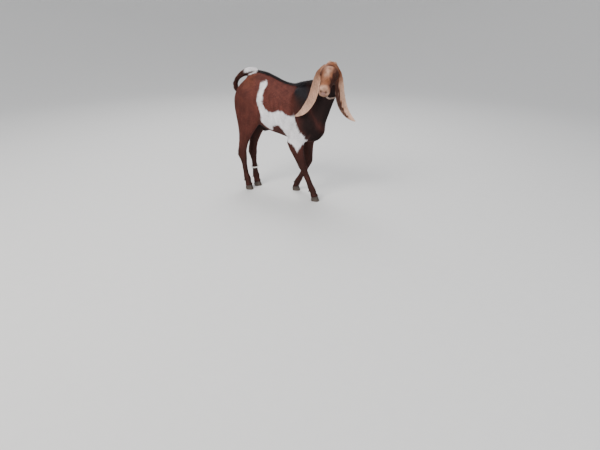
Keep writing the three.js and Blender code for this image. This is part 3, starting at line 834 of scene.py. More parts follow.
def ear_marks(points, labels):
    """Masks of the ears: streaked cream, red at the root, and half of the left one dark, its dark hair
    with painted shade of its fold.
    """
    ears = np.isin(labels, EAR_LABELS)
    marks = {name: np.zeros(len(points)) for name in ("cream", "rust_and_highlight", "dark", "tan")}
    for label in EAR_LABELS:
        chosen = labels == label
        middles = middle_line(points, chosen)
        height = points[chosen, 2]
        off = (points[chosen] - at_height(middles, middles, height)) @ (0.866, 0.5, 0)
        wild = ripple(points[chosen] * (1, 1, 0.25), 9, 11 + label)
        root = ramp(height, 700, 768)
        tip = ramp(height, 620, 540)
        cream = 0.66 + 0.22 * tip + 0.16 * wild - 0.40 * root
        dark = 0.22 * root + 0.12 * wild
        if label == EAR_LABELS[1]:
            # the inner half of the left ear, towards the neck, is dark: its own dark hair together with
            # painted shade of the fold that the head shades
            inner = ramp(off + 2.5 * wild, 1, -4) * ramp(height, 505, 540)
            cream = cream + 0.06 - 0.85 * inner - 0.30 * ramp(height, 660, 730)
            dark = np.maximum(dark, 0.95 * inner)
        rim = ramp(np.abs(off), 14, 22)
        marks["cream"][chosen] = cream + 0.15 * rim
        marks["rust_and_highlight"][chosen] = 0.5 * root * ramp(height, 800, 770)
        marks["dark"][chosen] = dark
        marks["tan"][chosen] = 1 - 0.92 * np.clip(dark, 0, 1)
    return marks, ears


def markings(points, normals, labels, edges):
    """The masks that colour the coat, the same for skin and tufts."""
    def share(chosen, rounds):
        return soften(np.isin(labels, chosen).astype(float), edges, rounds)[:, 0]
    part = {"neck": share((NECK,), 90), "tail": share((TAIL,), 12), "head": share((HEAD,), 12),
            "front": share(FRONT_LEGS, 160), "hind": share(HIND_LEGS, 160),
            "ears": share(EAR_LABELS, 8)}
    body = body_marks(points, normals, labels, part)
    face = face_marks(points)
    ear, ears = ear_marks(points, labels)
    head = ramp(part["head"], 0.3, 0.7) * ~ears
    zero = np.zeros(len(points))
    found = {}
    for name in MARKS:
        off_head = np.where(ears, ear.get(name, zero), body.get(name, zero))
        found[name] = np.clip(off_head * (1 - head) + face.get(name, zero) * head, 0, 1)
    return found


# ---- shader groups and materials ------------------------------------------------------

def new_group(name, inputs, outputs):
    group = bpy.data.node_groups.new(name, "ShaderNodeTree")
    for label, kind, default in inputs:
        socket = group.interface.new_socket(label, in_out="INPUT", socket_type=kind)
        socket.default_value = default
    for label, kind in outputs:
        group.interface.new_socket(label, in_out="OUTPUT", socket_type=kind)
    return group, group.nodes.new("NodeGroupInput"), group.nodes.new("NodeGroupOutput")


def node(tree, kind, links=None, **settings):
    """Adds a node. links gives its inputs by name or number, as a socket or a value."""
    made = tree.nodes.new("ShaderNode" + kind)
    for key, value in settings.items():
        setattr(made, key, value)
    for key, value in (links or {}).items():
        if isinstance(value, bpy.types.NodeSocket):
            tree.links.new(value, made.inputs[key])
        else:
            made.inputs[key].default_value = value
    return made


def mask(tree, name):
    return node(tree, "Attribute", attribute_name=name, attribute_type="GEOMETRY").outputs["Fac"]


def sums(tree, operation, one, other):
    return node(tree, "Math", {0: one, 1: other}, operation=operation).outputs[0]


def blend(tree, share, one, other, mode="MIX"):
    made = node(tree, "Mix", {0: share, 6: one, 7: other}, data_type="RGBA", blend_type=mode)
    return made.outputs[2]


def spread(tree, value, low, high, start=0.0, end=1.0):
    """The part of a value between start and end, spread from low to high."""
    return node(tree, "MapRange", {"Value": value, "From Min": start, "From Max": end,
                                   "To Min": low, "To Max": high}).outputs[0]


def object_place(tree):
    return node(tree, "TexCoord").outputs["Object"]


def noise(tree, where, scale, detail, roughness=0.5):
    return node(tree, "TexNoise", {"Vector": where, "Scale": scale, "Detail": detail,
                                   "Roughness": roughness}).outputs["Fac"]


def emboss(tree, shader, height, distance, strength):
    """Raises the surface by a height's value, at most by a distance in millimetres."""
    bump = node(tree, "Bump", {"Height": height, "Strength": strength, "Distance": distance * MM})
    tree.links.new(bump.outputs["Normal"], shader.inputs["Normal"])


def add_group(tree, name, make, values):
    """Places a shared group, built the first time that it is asked for."""
    placed = tree.nodes.new("ShaderNodeGroup")
    placed.node_tree = bpy.data.node_groups.get(name) or make(name)
    for label, value in values.items():
        if isinstance(value, bpy.types.NodeSocket):
            tree.links.new(value, placed.inputs[label])
        else:
            placed.inputs[label].default_value = value
    return placed.outputs


def soiling_group(name):
    """Dirt in cloudy patches: the soiled colour, and the clouds' own value."""
    group, given, out = new_group(name, [
        ("Colour", "NodeSocketColor", (0.8, 0.8, 0.8, 1)),
        ("Dirt", "NodeSocketColor", (0.2, 0.15, 0.1, 1)),
        ("Scale", "NodeSocketFloat", 60.0), ("Detail", "NodeSocketFloat", 4.0),
        ("Extra", "NodeSocketFloat", 0.0), ("Start", "NodeSocketFloat", 0.0),
        ("Full", "NodeSocketFloat", 1.0), ("Most", "NodeSocketFloat", 0.5)],
        [("Colour", "NodeSocketColor"), ("Clouds", "NodeSocketFloat")])
    given = given.outputs
    clouds = noise(group, object_place(group), given["Scale"], given["Detail"])
    dirt = spread(group, sums(group, "ADD", clouds, given["Extra"]), 0.0, given["Most"],
                  given["Start"], given["Full"])
    soiled = blend(group, dirt, given["Colour"], given["Dirt"])
    group.links.new(soiled, out.inputs["Colour"])
    group.links.new(clouds, out.inputs["Clouds"])
    return group


def coat_group(name):
    """Colour, roughness and hair relief of the coat, from its marks and its lie."""
    tints = ("chestnut",) + tuple(mark for mark in MARKS if mark != "smudge_and_shade")
    inputs = [(tint.capitalize(), "NodeSocketColor", (*getattr(colours(), tint), 1)) for tint in tints]
    inputs += [("Variation", "NodeSocketFloat", 0.35), ("Streaks", "NodeSocketFloat", 1100.0)]
    group, given, out = new_group(name, inputs, [
        ("Colour", "NodeSocketColor"), ("Roughness", "NodeSocketFloat"), ("Height", "NodeSocketFloat")])
    given = given.outputs
    colour_now = given["Chestnut"]
    for mark in MARKS:
        tint = given[mark.capitalize() if mark != "smudge_and_shade" else "Black"]
        colour_now = blend(group, mask(group, mark), colour_now, tint)
    lie = node(group, "Attribute", attribute_name="combed").outputs["Vector"]
    streaks = noise(group, lie, given["Streaks"], 3.0, 0.6)
    locks = noise(group, lie, 90.0, 2.0)
    patches = noise(group, object_place(group), 16.0, 2.0)
    tone = sums(group, "ADD", sums(group, "MULTIPLY", mask(group, "tone"), 0.9),
                sums(group, "MULTIPLY", patches, 0.6))
    tone = sums(group, "ADD", tone, sums(group, "MULTIPLY", streaks, 0.5))
    tone = sums(group, "SUBTRACT", tone, 1.0)
    gain = sums(group, "ADD", sums(group, "MULTIPLY", tone, given["Variation"]), 1.0)
    gain_colour = node(group, "CombineColor", {0: gain, 1: gain, 2: gain}).outputs[0]
    colour_now = blend(group, 1.0, colour_now, gain_colour, "MULTIPLY")
    group.links.new(colour_now, out.inputs["Colour"])
    group.links.new(spread(group, locks, 0.50, 0.72), out.inputs["Roughness"])
    relief_now = sums(group, "ADD", streaks, sums(group, "MULTIPLY", locks, 0.8))
    group.links.new(relief_now, out.inputs["Height"])
    return group


def new_material(name, **constants):
    material = bpy.data.materials.new(name)
    material.use_nodes = True
    shader = material.node_tree.nodes["Principled BSDF"]
    for label, value in constants.items():
        shader.inputs[label.replace("_", " ")].default_value = value
    return material, material.node_tree, shader


def coat_material(name, bump, variation, specular):
    material, tree, shader = new_material(name, Specular_IOR_Level=specular)
    hair = add_group(tree, "coat_of_hair", coat_group, {"Variation": variation})
    tree.links.new(hair["Colour"], shader.inputs["Base Color"])
    tree.links.new(hair["Roughness"], shader.inputs["Roughness"])
    if bump:
        emboss(tree, shader, hair["Height"], bump, 0.6)
    return material


# ---- the skin as a surface to grow hair on --------------------------------------------

LAYOUT = (4, 3)            # columns and rows of the flat layout of the skin
LAYOUT_MARGIN = 0.03       # round each of its rectangles
LAYOUT_SLICES = 19         # of a limb, for the middle line that it is laid out round


class Hide:
    """The finished skin, with all that the coat reads at its points."""

    def __init__(self, mesh, finder):
        self.points = points_of(mesh)
        self.normals = normals_of(mesh)
        self.edges = edges_of(mesh)
        self.triangles = triangles_of(mesh)
        self.labels = finder.of(self.points)
        self.lie = lie_of_coat(self.points, self.normals, self.labels, self.edges)
        corners = self.points[self.triangles]
        cross = np.cross(corners[:, 1] - corners[:, 0], corners[:, 2] - corners[:, 0])
        self.areas = np.linalg.norm(cross, axis=1) / 2
        self.marks = markings(self.points, self.normals, self.labels, self.edges)
        self.flat = self.unwrap()

    def unwrap(self):
        """The skin laid out flat: each limb a rectangle, round its middle line and along it."""
        flat = np.zeros((len(self.points), 2))
        columns, rows = LAYOUT
        inner = 1 - 2 * LAYOUT_MARGIN
        for label in range(len(FLESH)):
            chosen = self.labels == label
            if not chosen.any():
                continue
            places = to_face(self.points[chosen]) if label == HEAD else self.points[chosen]
            axis = 0 if label in (TRUNK, HEAD) else 2
            along = places[:, axis]
            share = (along - along.min()) / max(np.ptp(along), 1e-6)
            others = [k for k in range(3) if k != axis]
            steps = np.linspace(along.min(), along.max(), LAYOUT_SLICES + 1)
            owner = np.clip(np.digitize(along, steps) - 1, 0, LAYOUT_SLICES - 1)
            used = [k for k in range(LAYOUT_SLICES) if (owner == k).any()]
            middles = np.array([places[owner == k].mean(0) for k in used])
            centre = [np.interp(along, middles[:, axis], middles[:, k]) for k in others]
            angle = np.arctan2(places[:, others[1]] - centre[1], places[:, others[0]] - centre[0])
            column, row = label % columns, label // columns
            turn = angle / (2 * math.pi) + 0.5
            flat[chosen, 0] = (column + LAYOUT_MARGIN + inner * turn) / columns
            flat[chosen, 1] = (row + LAYOUT_MARGIN + inner * share) / rows
        return flat

    def scatter(self, rng, weight, count):
        """Random places on the skin, more where the weight is greater."""
        chance = self.areas * weight[self.triangles].mean(1)
        chosen = rng.choice(len(chance), count, p=chance / chance.sum())
        one, other = rng.random((2, count))
        over = one + other > 1
        one, other = np.where(over, 1 - one, one), np.where(over, 1 - other, other)
        return chosen, np.stack([1 - one - other, one, other], 1)

    def at(self, values, chosen, share):
        """The values of the skin's points, read at scattered places."""
        corners = values[self.triangles[chosen]]
        if values.ndim == 1:
            return (corners * share).sum(1)
        return (corners * share[..., None]).sum(1)


# ---- tufts ----------------------------------------------------------------------------

PATCH = 0.003              # size of a tuft's patch on the flat layout
TUFT_FACES = np.array([(0, 1, 3), (0, 3, 2), (1, 4, 3), (2, 3, 5), (3, 4, 5)])
TUFT_FLAT = np.array([(0.2, 0), (0.8, 0), (0, 0.5), (0.5, 0.5), (1, 0.5), (0.5, 1)])
TUFT_ALONG = np.array([0, 0, 0.5, 0.5, 0.5, 1.0])
TUFT_POINTS = 6
ROOT_DEPTH = 0.4           # of a tuft's root under the skin


def grow_tufts(name, hide, weight, count, long, wide, rise, seed, stray=0.22, curl=0.0):
    """One piece of coat. long, wide and rise are the length and width of a tuft, in
    millimetres, and how far its tip stands up for its length, for all or for each point."""
    rng = np.random.default_rng(SEED + seed)
    long, wide, rise = (np.broadcast_to(size, len(hide.points)) for size in (long, wide, rise))
    chosen, share = hide.scatter(rng, weight, count)
    root = hide.at(hide.points, chosen, share)
    out = unit(hide.at(hide.normals, chosen, share))
    lie = hide.at(hide.lie, chosen, share)
    lie = unit(lie - out * (lie * out).sum(1)[:, None])
    aside = np.cross(out, lie)
    yaw = rng.normal(0, stray, count)[:, None]
    lie, aside = lie * np.cos(yaw) + aside * np.sin(yaw), aside * np.cos(yaw) - lie * np.sin(yaw)
    reach = hide.at(long, chosen, share) * rng.uniform(0.7, 1.25, count)
    half = hide.at(wide, chosen, share) * rng.uniform(0.7, 1.2, count) / 2
    stand = hide.at(rise, chosen, share) * rng.uniform(0.5, 1.5, count)
    reach, half, stand = reach[:, None], half[:, None], stand[:, None]
    bend = rng.normal(0, curl, count)[:, None] * reach
    flat_reach = np.sqrt(np.maximum(1 - stand ** 2, 0.05))
    waist = root + lie * reach * 0.5 * flat_reach + out * (0.3 + stand * reach * 0.55)
    waist += aside * bend
    tip = root + lie * reach * flat_reach + out * (0.1 + stand * reach)
    base = root - out * ROOT_DEPTH
    low = waist - out * half * 0.3
    corners = np.stack([base - aside * half * 0.7, base + aside * half * 0.7, low - aside * half,
                        waist + out * half * 0.4, low + aside * half, tip], 1)
    faces = TUFT_FACES[None] + TUFT_POINTS * np.arange(count)[:, None, None]
    mesh = build_mesh(name, corners.reshape(-1, 3), faces.reshape(-1, 3))
    marks = {mark: np.repeat(hide.at(hide.marks[mark], chosen, share), TUFT_POINTS) for mark in MARKS}
    tone = (rng.uniform(-0.4, 0.4, count) + mottle(root))[:, None] + 0.35 * (TUFT_ALONG[None] - 0.4)
    marks["tone"] = 0.5 + (tone.ravel() - 0.5) * (1 - 0.6 * marks["white"])
    write_marks(mesh, marks)
    corner = hide.at(hide.flat, chosen, share)
    flat = corner[:, None] + (TUFT_FLAT[None] - 0.5) * PATCH
    layer = mesh.uv_layers.new(name="OFBake")
    layer.data.foreach_set("uv", flat.reshape(-1, 2)[faces.ravel()].astype(np.float32).ravel())
    return mesh


def mottle(points):
    """Paler and darker patches of hair, the same on the skin and on the tufts."""
    return 0.5 + 0.11 * ripple(points, 15, 21) + 0.15 * ripple(points, 42, 23)


def hair_sizes(hide):
    """Length, width and rise of the tufts at every point of the skin."""
    labels = hide.labels
    forward, _, up = to_face(hide.points).T
    ahead, _, height = hide.points.T
    width = sizes().tuft_width
    hair = {"trunk": (9, width, 0.07), "neck": (11, width, 0.09), "head": (4.6, 0.8, 0.07),
            "tail": (20, 1.7, 0.17)}
    hair |= {name: (3.6, 0.6, 0) for name in EARS} | {name: (6.5, 1.1, 0.07) for name in LEGS}
    long, wide, rise = (by_label(labels, {name: size[k] for name, size in hair.items()})
                        for k in range(3))
    upper_leg = ramp(height, 300, 440) * (labels >= FRONT_LEGS[0])
    long += 4.5 * upper_leg
    wide += 0.4 * upper_leg
    nose = ramp(forward, 120, 190) * (labels == HEAD)
    long -= 1.8 * nose
    wide -= 0.2 * nose
    poll = (labels == HEAD) * ramp(forward, 44, 26) * ramp(up, 0, 12)
    long += 3.5 * poll
    wide += 0.2 * poll
    rise += 0.05 * poll
    tail = labels == TAIL
    top = ramp(ahead, -330, -300) * tail
    long -= 6 * top + 6 * ramp(ahead, -262, -236) * tail
    rise -= 0.06 * top
    return long, wide, rise


def coat_weights(hide):
    """Where hair grows at all: not on the eyes, in the nostrils or on the bare nose."""
    face = to_face(hide.points)
    open_skin = np.ones(len(face))
    for side in (1, -1):
        reach, across, upward, _, ahead = eye_angles(face, side)
        past = past_opening(across, upward)
        open_skin *= 1 - (reach < 20) * (ahead > 1) * ramp(past, 8, 3)
    side = np.abs(face[:, 1])
    nostril = (face[:, 0] > 196) * (np.hypot(side - NOSTRIL[1], face[:, 2] - NOSTRIL[2]) < 7)
    return open_skin * (1 - hide.marks["bare"]) * (1 - nostril)


HIDE = {}                  # the finished skin, which the coat grows on


class GOAT_OT_skin(bpy.types.Operator):
    """Build the one skin of the goat, inside its flesh solids by the depth of the coat"""
    bl_idname = "goat.skin"
    bl_label = "Skin"

    def execute(self, context):
        mesh, finder = build_skin()
        hide = Hide(mesh, finder)
        HIDE["skin"] = hide
        write_marks(mesh, hide.marks)
        write_marks(mesh, {"tone": mottle(hide.points) - 0.05})
        centres = np.array([hide.points[hide.labels == k].mean(0) for k in range(len(FLESH))])
        home = soften(centres[hide.labels], hide.edges, 20)
        from_home = hide.points - home
        run = (from_home * hide.lie).sum(1)[:, None]
        combed = (from_home - hide.lie * run * 0.88) * MM
        layer = mesh.attributes.new("combed", "FLOAT_VECTOR", "POINT")
        layer.data.foreach_set("vector", combed.astype(np.float32).ravel())
        material = coat_material("coat_skin", 0.5, 0.8, 0.16)
        add_piece("skin", mesh, material, "coat_chestnut", *FLESH)
        return {"FINISHED"}


COAT_PARTING = -95         # where the coat of the fore part meets that of the rump

# each piece's nodes, side and end of the body, tufts and slot
COAT_PIECES = (
    ("coat_fore_right", (TRUNK,), -1, 1, 30000, "coat_chestnut"),
    ("coat_rump_right", (TRUNK,), -1, -1, 30000, "coat_chestnut"),
    ("coat_fore_left", (TRUNK,), 1, 1, 30000, "coat_chestnut"),
    ("coat_rump_left", (TRUNK,), 1, -1, 30000, "coat_chestnut"),
    ("coat_neck", (NECK,), 0, 0, 27000, "coat_black"),
    ("coat_head", (HEAD,), 0, 0, 32000, "coat_tan"),
    ("coat_ears", EAR_LABELS, 0, 0, 24000, "coat_cream"),
    ("coat_forelegs", FRONT_LEGS, 0, 0, 31000, "coat_dark"),
    ("coat_hind_leg_right", HIND_LEGS[:1], 0, 0, 20000, "coat_dark"),
    ("coat_hind_leg_left", HIND_LEGS[1:], 0, 0, 20000, "coat_dark"),
    ("coat_tail", (TAIL,), 0, 0, 6000, "coat_dark"),
)

CREST = (7000, 19, 1.3)    # tufts of the crest of the back, their length and their width

# long hair: its middle, radii, tufts, length, width, how far it stands out, and slot
FRINGES = (
    ("coat_fringe_hock_right", (-345, 0, 245), (26, 60, 34), 500, 15, 1.3, 0.22, "coat_dark"),
    ("coat_fringe_sheath", (-190, 52, 384), (34, 14, 18), 400, 20, 1.5, 0.25, "coat_black"),
    ("coat_fringe_thighs", (-345, 52, 430), (22, 90, 120), 2200, 15, 1.5, 0.13, "coat_chestnut"),
    ("coat_fringe_brisket", (200, 48, 400), (50, 34, 60), 1500, 15, 1.6, 0.12, "coat_black"),
)


def crest_weight(hide):
    """Where the black hair stands along the back and over the withers."""
    x, across = body_places(hide.points)[:, :2].T
    top = ramp(hide.normals[:, 2], 0.45, 0.75) * np.isin(hide.labels, (TRUNK, NECK))
    broad = 8 + 16 * ramp(x, 20, 90)
    return top * ramp(across, broad + 6, broad - 3) * ramp(x, -292, -270) * ramp(x, 170, 130)


class GOAT_OT_coat(bpy.types.Operator):
    """Grow the coat, in thin tufts that lie along the body, its crest and its fringes"""
    bl_idname = "goat.coat"
    bl_label = "Coat"

    def execute(self, context):
        hide = HIDE["skin"]
        long, wide, rise = hair_sizes(hide)
        grows = coat_weights(hide)
        hair = coat_material("coat_tufts", 0, 0.95, 0.2)
        ahead, across = hide.points[:, 0] - COAT_PARTING, hide.points[:, 1] - BODY_MIDDLE
        for seed, (name, labels, side, end, count, slot) in enumerate(COAT_PIECES):
            weight = grows * np.isin(hide.labels, labels)
            if side:
                weight = weight * (across * side > 0) * (ahead * end > 0)
            weight = weight / np.maximum(long * wide, 1)
            mesh = grow_tufts(name, hide, weight, count, long, wide, rise, seed)
            add_piece(name, mesh, hair, slot)
        stand = 0.24 + 0.14 * ramp(hide.points[:, 0], -60, 20)
        mesh = grow_tufts("coat_crest", hide, crest_weight(hide), *CREST, stand, 40,
                          stray=0.45, curl=0.06)
        add_piece("coat_crest", mesh, hair, "coat_black")
        for seed, (name, at, radii, count, *size, slot) in enumerate(FRINGES):
            weight = bell(hide.points, at, radii) ** 2 * (hide.labels != HEAD) * grows
            mesh = grow_tufts(name, hide, weight, count, *size, 50 + seed, stray=0.2, curl=0.05)
            add_piece(name, mesh, hair, slot)
        return {"FINISHED"}


# ---- eyes -----------------------------------------------------------------------------

EYEBALL = 12.8             # its radius
CORNEA = 0.9               # how far its front bulges


def eye_material():
    """Wet eyeball: a streaked iris with a dark rim, and a slot pupil."""
    tint = colours().iris
    material, tree, shader = new_material("wet_eye", Roughness=0.3, Coat_Weight=0.3, Coat_IOR=1.3,
                                          Coat_Roughness=0.05, Specular_IOR_Level=0.2, IOR=1.25)
    across, upward = mask(tree, "across"), mask(tree, "upward")

    def oval(wide, tall):
        flat, high = (sums(tree, "POWER", sums(tree, "ABSOLUTE", sums(tree, "DIVIDE", *ratio), 0), 2.6)
                      for ratio in ((across, wide), (upward, tall)))
        return sums(tree, "ADD", flat, high)

    pupil = spread(tree, oval(26.0, 9.0), 0.0, 1.0, 1.25, 0.8)
    rim = spread(tree, oval(47.0, 47.0), 0.0, 1.0, 0.72, 1.0)
    fibres = noise(tree, object_place(tree), 420.0, 4.0)
    iris = blend(tree, fibres, (*tint, 1), (*[c * 0.35 for c in tint], 1))
    shown = blend(tree, rim, iris, (0.012, 0.008, 0.006, 1))
    shown = blend(tree, pupil, shown, (0.002, 0.002, 0.003, 1))
    tree.links.new(shown, shader.inputs["Base Color"])
    return material


class GOAT_OT_eyes(bpy.types.Operator):
    """Set two wet eyeballs with level slot pupils between the lids"""
    bl_idname = "goat.eyes"
    bl_label = "Eyes"

    def execute(self, context):
        material = eye_material()
        for name, side in zip(EYES, (-1, 1)):
            form = bmesh.new()
            bmesh.ops.create_uvsphere(form, u_segments=64, v_segments=40, radius=1)
            mesh = closed(form, bpy.data.meshes.new(name + "_ball"))
            mesh.shade_smooth()
            around = points_of(mesh) * MM
            out = eye_axes(side)[0]
            ahead = around @ out
            cornea = CORNEA * ramp(ahead, 0.72, 1.0)[:, None]
            face = EYE_IN_FACE * (1, side, 1) + around * (EYEBALL + cornea)
            place(mesh, POLL + face @ FACE.T)
            level = unit(np.cross((0, 0, 1) @ FACE, out))
            above = np.cross(out, level)
            write_marks(mesh, {
                "across": np.degrees(np.arctan2(around @ level, ahead)),
                "upward": np.degrees(np.arctan2(around @ above, ahead))})
            add_piece(name + "_ball", mesh, material, "eye", name)
        return {"FINISHED"}


# ---- hooves ---------------------------------------------------------------------------

def horn_material():
    """Ringed horn, muddy towards the ground."""
    tint = colours().horn
    material, tree, shader = new_material("hoof_horn", Specular_IOR_Level=0.4)
    where = object_place(tree)
    rings = node(tree, "TexWave", {"Vector": where, "Scale": 55.0, "Distortion": 3.0,
                                   "Detail": 2.0}, bands_direction="Z").outputs["Fac"]
    grain = noise(tree, where, 260.0, 5.0)
    height = node(tree, "SeparateXYZ", {0: where}).outputs["Z"]
    soiled = add_group(tree, "soiling", soiling_group, {
        "Colour": blend(tree, grain, (*tint, 1), (*[c * 2.4 for c in tint], 1)),
        "Dirt": (0.10, 0.075, 0.052, 1), "Scale": 45.0, "Detail": 3.0,
        "Extra": spread(tree, height, 0.0, 1.0, 0.014, 0.0), "Full": 2.0, "Most": 0.9})
    tree.links.new(soiled["Colour"], shader.inputs["Base Color"])
    tree.links.new(spread(tree, grain, 0.38, 0.7), shader.inputs["Roughness"])
    emboss(tree, shader, sums(tree, "ADD", rings, sums(tree, "MULTIPLY", grain, 0.5)), 0.6, 0.5)
    return material


CLAW_GRID, DEWCLAW_GRID = 1.1, 0.8
SOLE = (1.6, 0.4)          # heights between which a claw is pressed flat onto the floor


class GOAT_OT_hooves(bpy.types.Operator):
    """Round off the horn of the claws and dewclaws and give it its rings"""
    bl_idname = "goat.hooves"
    bl_label = "Hooves"

    def execute(self, context):
        horn = horn_material()
        for name in sorted(NODES):
            if "claw_" not in name:
                continue
            is_claw = name.startswith("claw")
            mesh = with_modifiers(closed_copy(name), voxels(CLAW_GRID if is_claw else DEWCLAW_GRID))
            points = points_of(mesh)
            worn = soften(points, edges_of(mesh), 7) + normals_of(mesh) * 0.15
            if is_claw:
                worn[:, 2] *= 1 - ramp(points[:, 2], *SOLE)
            place(mesh, worn)
            add_piece(name + "_horn", mesh, horn, "horn", name)
        return {"FINISHED"}


# ---- leg band -------------------------------------------------------------------------

def band_material():
    """White plastic, soiled in patches."""
    material, tree, shader = new_material("band_plastic", Specular_IOR_Level=0.5)
    soiled = add_group(tree, "soiling", soiling_group, {
        "Colour": (*colours().band, 1), "Dirt": (0.38, 0.31, 0.22, 1), "Scale": 160.0,
        "Start": 0.5, "Full": 0.8, "Most": 0.4})
    tree.links.new(soiled["Colour"], shader.inputs["Base Color"])
    tree.links.new(spread(tree, soiled["Clouds"], 0.3, 0.6), shader.inputs["Roughness"])
    return material


class GOAT_OT_band(bpy.types.Operator):
    """Make the white plastic band on the left hind leg"""
    bl_idname = "goat.band"
    bl_label = "Leg band"

    def execute(self, context):
        mesh = with_modifiers(closed_copy("leg_band"),
                              ("BEVEL", {"width": 0.5 * MM, "segments": 2}), rounded(2))
        mesh.shade_smooth()
        add_piece("leg_band_ring", mesh, band_material(), "white_plastic", "leg_band")
        return {"FINISHED"}


# ---- collar ---------------------------------------------------------------------------

def webbing_material():
    """Flat woven strap, a little soiled."""
    tint = colours().webbing
    material, tree, shader = new_material("collar_webbing", Roughness=0.85, Specular_IOR_Level=0.2)
    wave = {"Vector": object_place(tree), "Scale": 190.0, "Distortion": 0.6}
    warp, weft = (node(tree, "TexWave", wave, bands_direction=way).outputs["Fac"]
                  for way in ("DIAGONAL", "Z"))
    weave = sums(tree, "MULTIPLY", warp, weft)
    soiled = add_group(tree, "soiling", soiling_group, {
        "Colour": blend(tree, weave, (*[c * 0.75 for c in tint], 1), (*tint, 1)),
        "Dirt": (0.20, 0.14, 0.11, 1), "Scale": 60.0, "Most": 0.7})
    tree.links.new(soiled["Colour"], shader.inputs["Base Color"])
    emboss(tree, shader, weave, 0.5, 0.6)
    return material


class GOAT_OT_collar(bpy.types.Operator):
    """Make the pale woven collar high on the neck"""
    bl_idname = "goat.collar"
    bl_label = "Collar"

    def execute(self, context):
        mesh = with_modifiers(closed_copy("collar"), rounded(3))
        mesh.shade_smooth()
        add_piece("collar_strap", mesh, webbing_material(), "webbing", "collar")
        return {"FINISHED"}


# ---- stage ----------------------------------------------------------------------------

CAMERA_PLACE = (1.5221, -2.4982)   # over the floor, from the middle of the goat's outline
FLOOR_FLAT = 4.2           # radius of the level floor, in metres
FLOOR_RADIUS = 7.0         # and of the whole, which curves up round it
FLOOR_RISE = 2.6
AIM = (0.0, 0.0, 0.45)     # the middle of the goat, which the lights face
# each light's place, power in watts, size in metres and tint
LIGHTS = {
    "key": ((-0.6, -3.4, 3.6), 190, 2.2, (1.0, 0.97, 0.93)),
    "fill": ((3.4, -1.4, 1.8), 45, 2.6, (0.93, 0.96, 1.0)),
    "top": ((-1.2, 1.6, 3.6), 110, 2.4, (1.0, 1.0, 1.0)),
}
SKY = (0.90, 0.93, 1.0, 1)
SKY_STRENGTH = 0.55


def look_along(obj, way):
    """Turns a light or a camera to look one way."""
    obj.rotation_euler = Vector(way).to_track_quat("-Z", "Y").to_euler()


def add_lights(scene):
    for name, (where, power, size, tint) in LIGHTS.items():
        data = bpy.data.lights.new(name, "AREA")
        data.energy, data.size, data.color = power, size, tint
        lamp = bpy.data.objects.new(name, data)
        scene.collection.objects.link(lamp)
        lamp.location = where
        look_along(lamp, Vector(AIM) - Vector(where))
    world = bpy.data.worlds.new("studio")
    world.use_nodes = True
    sky = world.node_tree.nodes["Background"].inputs
    sky["Color"].default_value, sky["Strength"].default_value = SKY, SKY_STRENGTH
    scene.world = world


def floor_mesh():
    """A round floor whose rim curves up."""
    curve = FLOOR_RADIUS - FLOOR_FLAT
    profile = [(0, 0)]
    profile += [(FLOOR_FLAT + curve * math.sin(turn), FLOOR_RISE * (1 - math.cos(turn)))
                for turn in np.linspace(0, math.pi / 2, 12)]
    form = bmesh.new()
    verts = [form.verts.new((radius, 0, height)) for radius, height in profile]
    edges = [form.edges.new(pair) for pair in zip(verts[:-1], verts[1:])]
    bmesh.ops.spin(form, geom=verts + edges, axis=(0, 0, 1), cent=(0, 0, 0), steps=64,
                   angle=2 * math.pi)
    bmesh.ops.remove_doubles(form, verts=form.verts, dist=1e-4)
    bmesh.ops.recalc_face_normals(form, faces=form.faces)
    mesh = closed(form, bpy.data.meshes.new("floor"))
    mesh.shade_smooth()
    return mesh


def floor_material():
    """Pale matt paint with a fine speck."""
    material, tree, shader = new_material("pale_floor", Roughness=0.9)
    speck = node(tree, "TexNoise", {"Scale": 300.0, "Detail": 3.0}).outputs["Fac"]
    tone = colours().floor
    tree.links.new(blend(tree, speck, (*[c * 0.96 for c in tone], 1), (*tone, 1)),
                   shader.inputs["Base Color"])
    return material


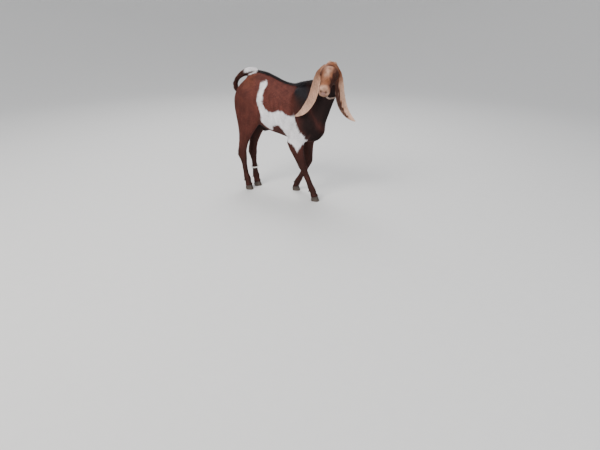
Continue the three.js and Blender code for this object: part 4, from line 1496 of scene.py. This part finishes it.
def add_camera(scene):
    stage = scene.goat_stage
    camera = bpy.data.objects.new("camera", bpy.data.cameras.new("camera"))
    scene.collection.objects.link(camera)
    camera.data.lens = stage.lens
    camera.data.sensor_width = 36
    camera.location = (*CAMERA_PLACE, stage.height)
    look_along(camera, (-math.sin(stage.azimuth) * math.cos(stage.pitch),
                        math.cos(stage.azimuth) * math.cos(stage.pitch), -math.sin(stage.pitch)))
    scene.camera = camera


class GOAT_OT_stage(bpy.types.Operator):
    """Set the pale floor, the soft lights and the camera"""
    bl_idname = "goat.stage"
    bl_label = "Stage"

    def execute(self, context):
        add_object("floor", floor_mesh(), floor_material())
        add_lights(context.scene)
        add_camera(context.scene)
        return {"FINISHED"}


# ---- add-on ---------------------------------------------------------------------------

PIECES = (GOAT_OT_skin, GOAT_OT_coat, GOAT_OT_eyes, GOAT_OT_hooves, GOAT_OT_band, GOAT_OT_collar,
          GOAT_OT_stage)


class GOAT_PT_panel(bpy.types.Panel):
    """Lists the pieces of the goat"""
    bl_label = "Goat"
    bl_idname = "GOAT_PT_panel"
    bl_space_type = "VIEW_3D"
    bl_region_type = "UI"
    bl_category = "Goat"

    def draw(self, context):
        for piece in PIECES:
            self.layout.operator(piece.bl_idname)


GROUPS = (GoatSizes, GoatColours, GoatStage)


def register():
    for cls in GROUPS + PIECES + (GOAT_PT_panel,):
        bpy.utils.register_class(cls)
    bpy.types.Scene.goat_sizes = bpy.props.PointerProperty(type=GoatSizes)
    bpy.types.Scene.goat_colours = bpy.props.PointerProperty(type=GoatColours)
    bpy.types.Scene.goat_stage = bpy.props.PointerProperty(type=GoatStage)


def unregister():
    del bpy.types.Scene.goat_stage, bpy.types.Scene.goat_colours, bpy.types.Scene.goat_sizes
    for cls in reversed(GROUPS + PIECES + (GOAT_PT_panel,)):
        bpy.utils.unregister_class(cls)


def main():
    register()
    for piece in PIECES:
        group, name = piece.bl_idname.split(".")
        getattr(getattr(bpy.ops, group), name)()
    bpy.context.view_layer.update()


if __name__ == "__main__":
    main()
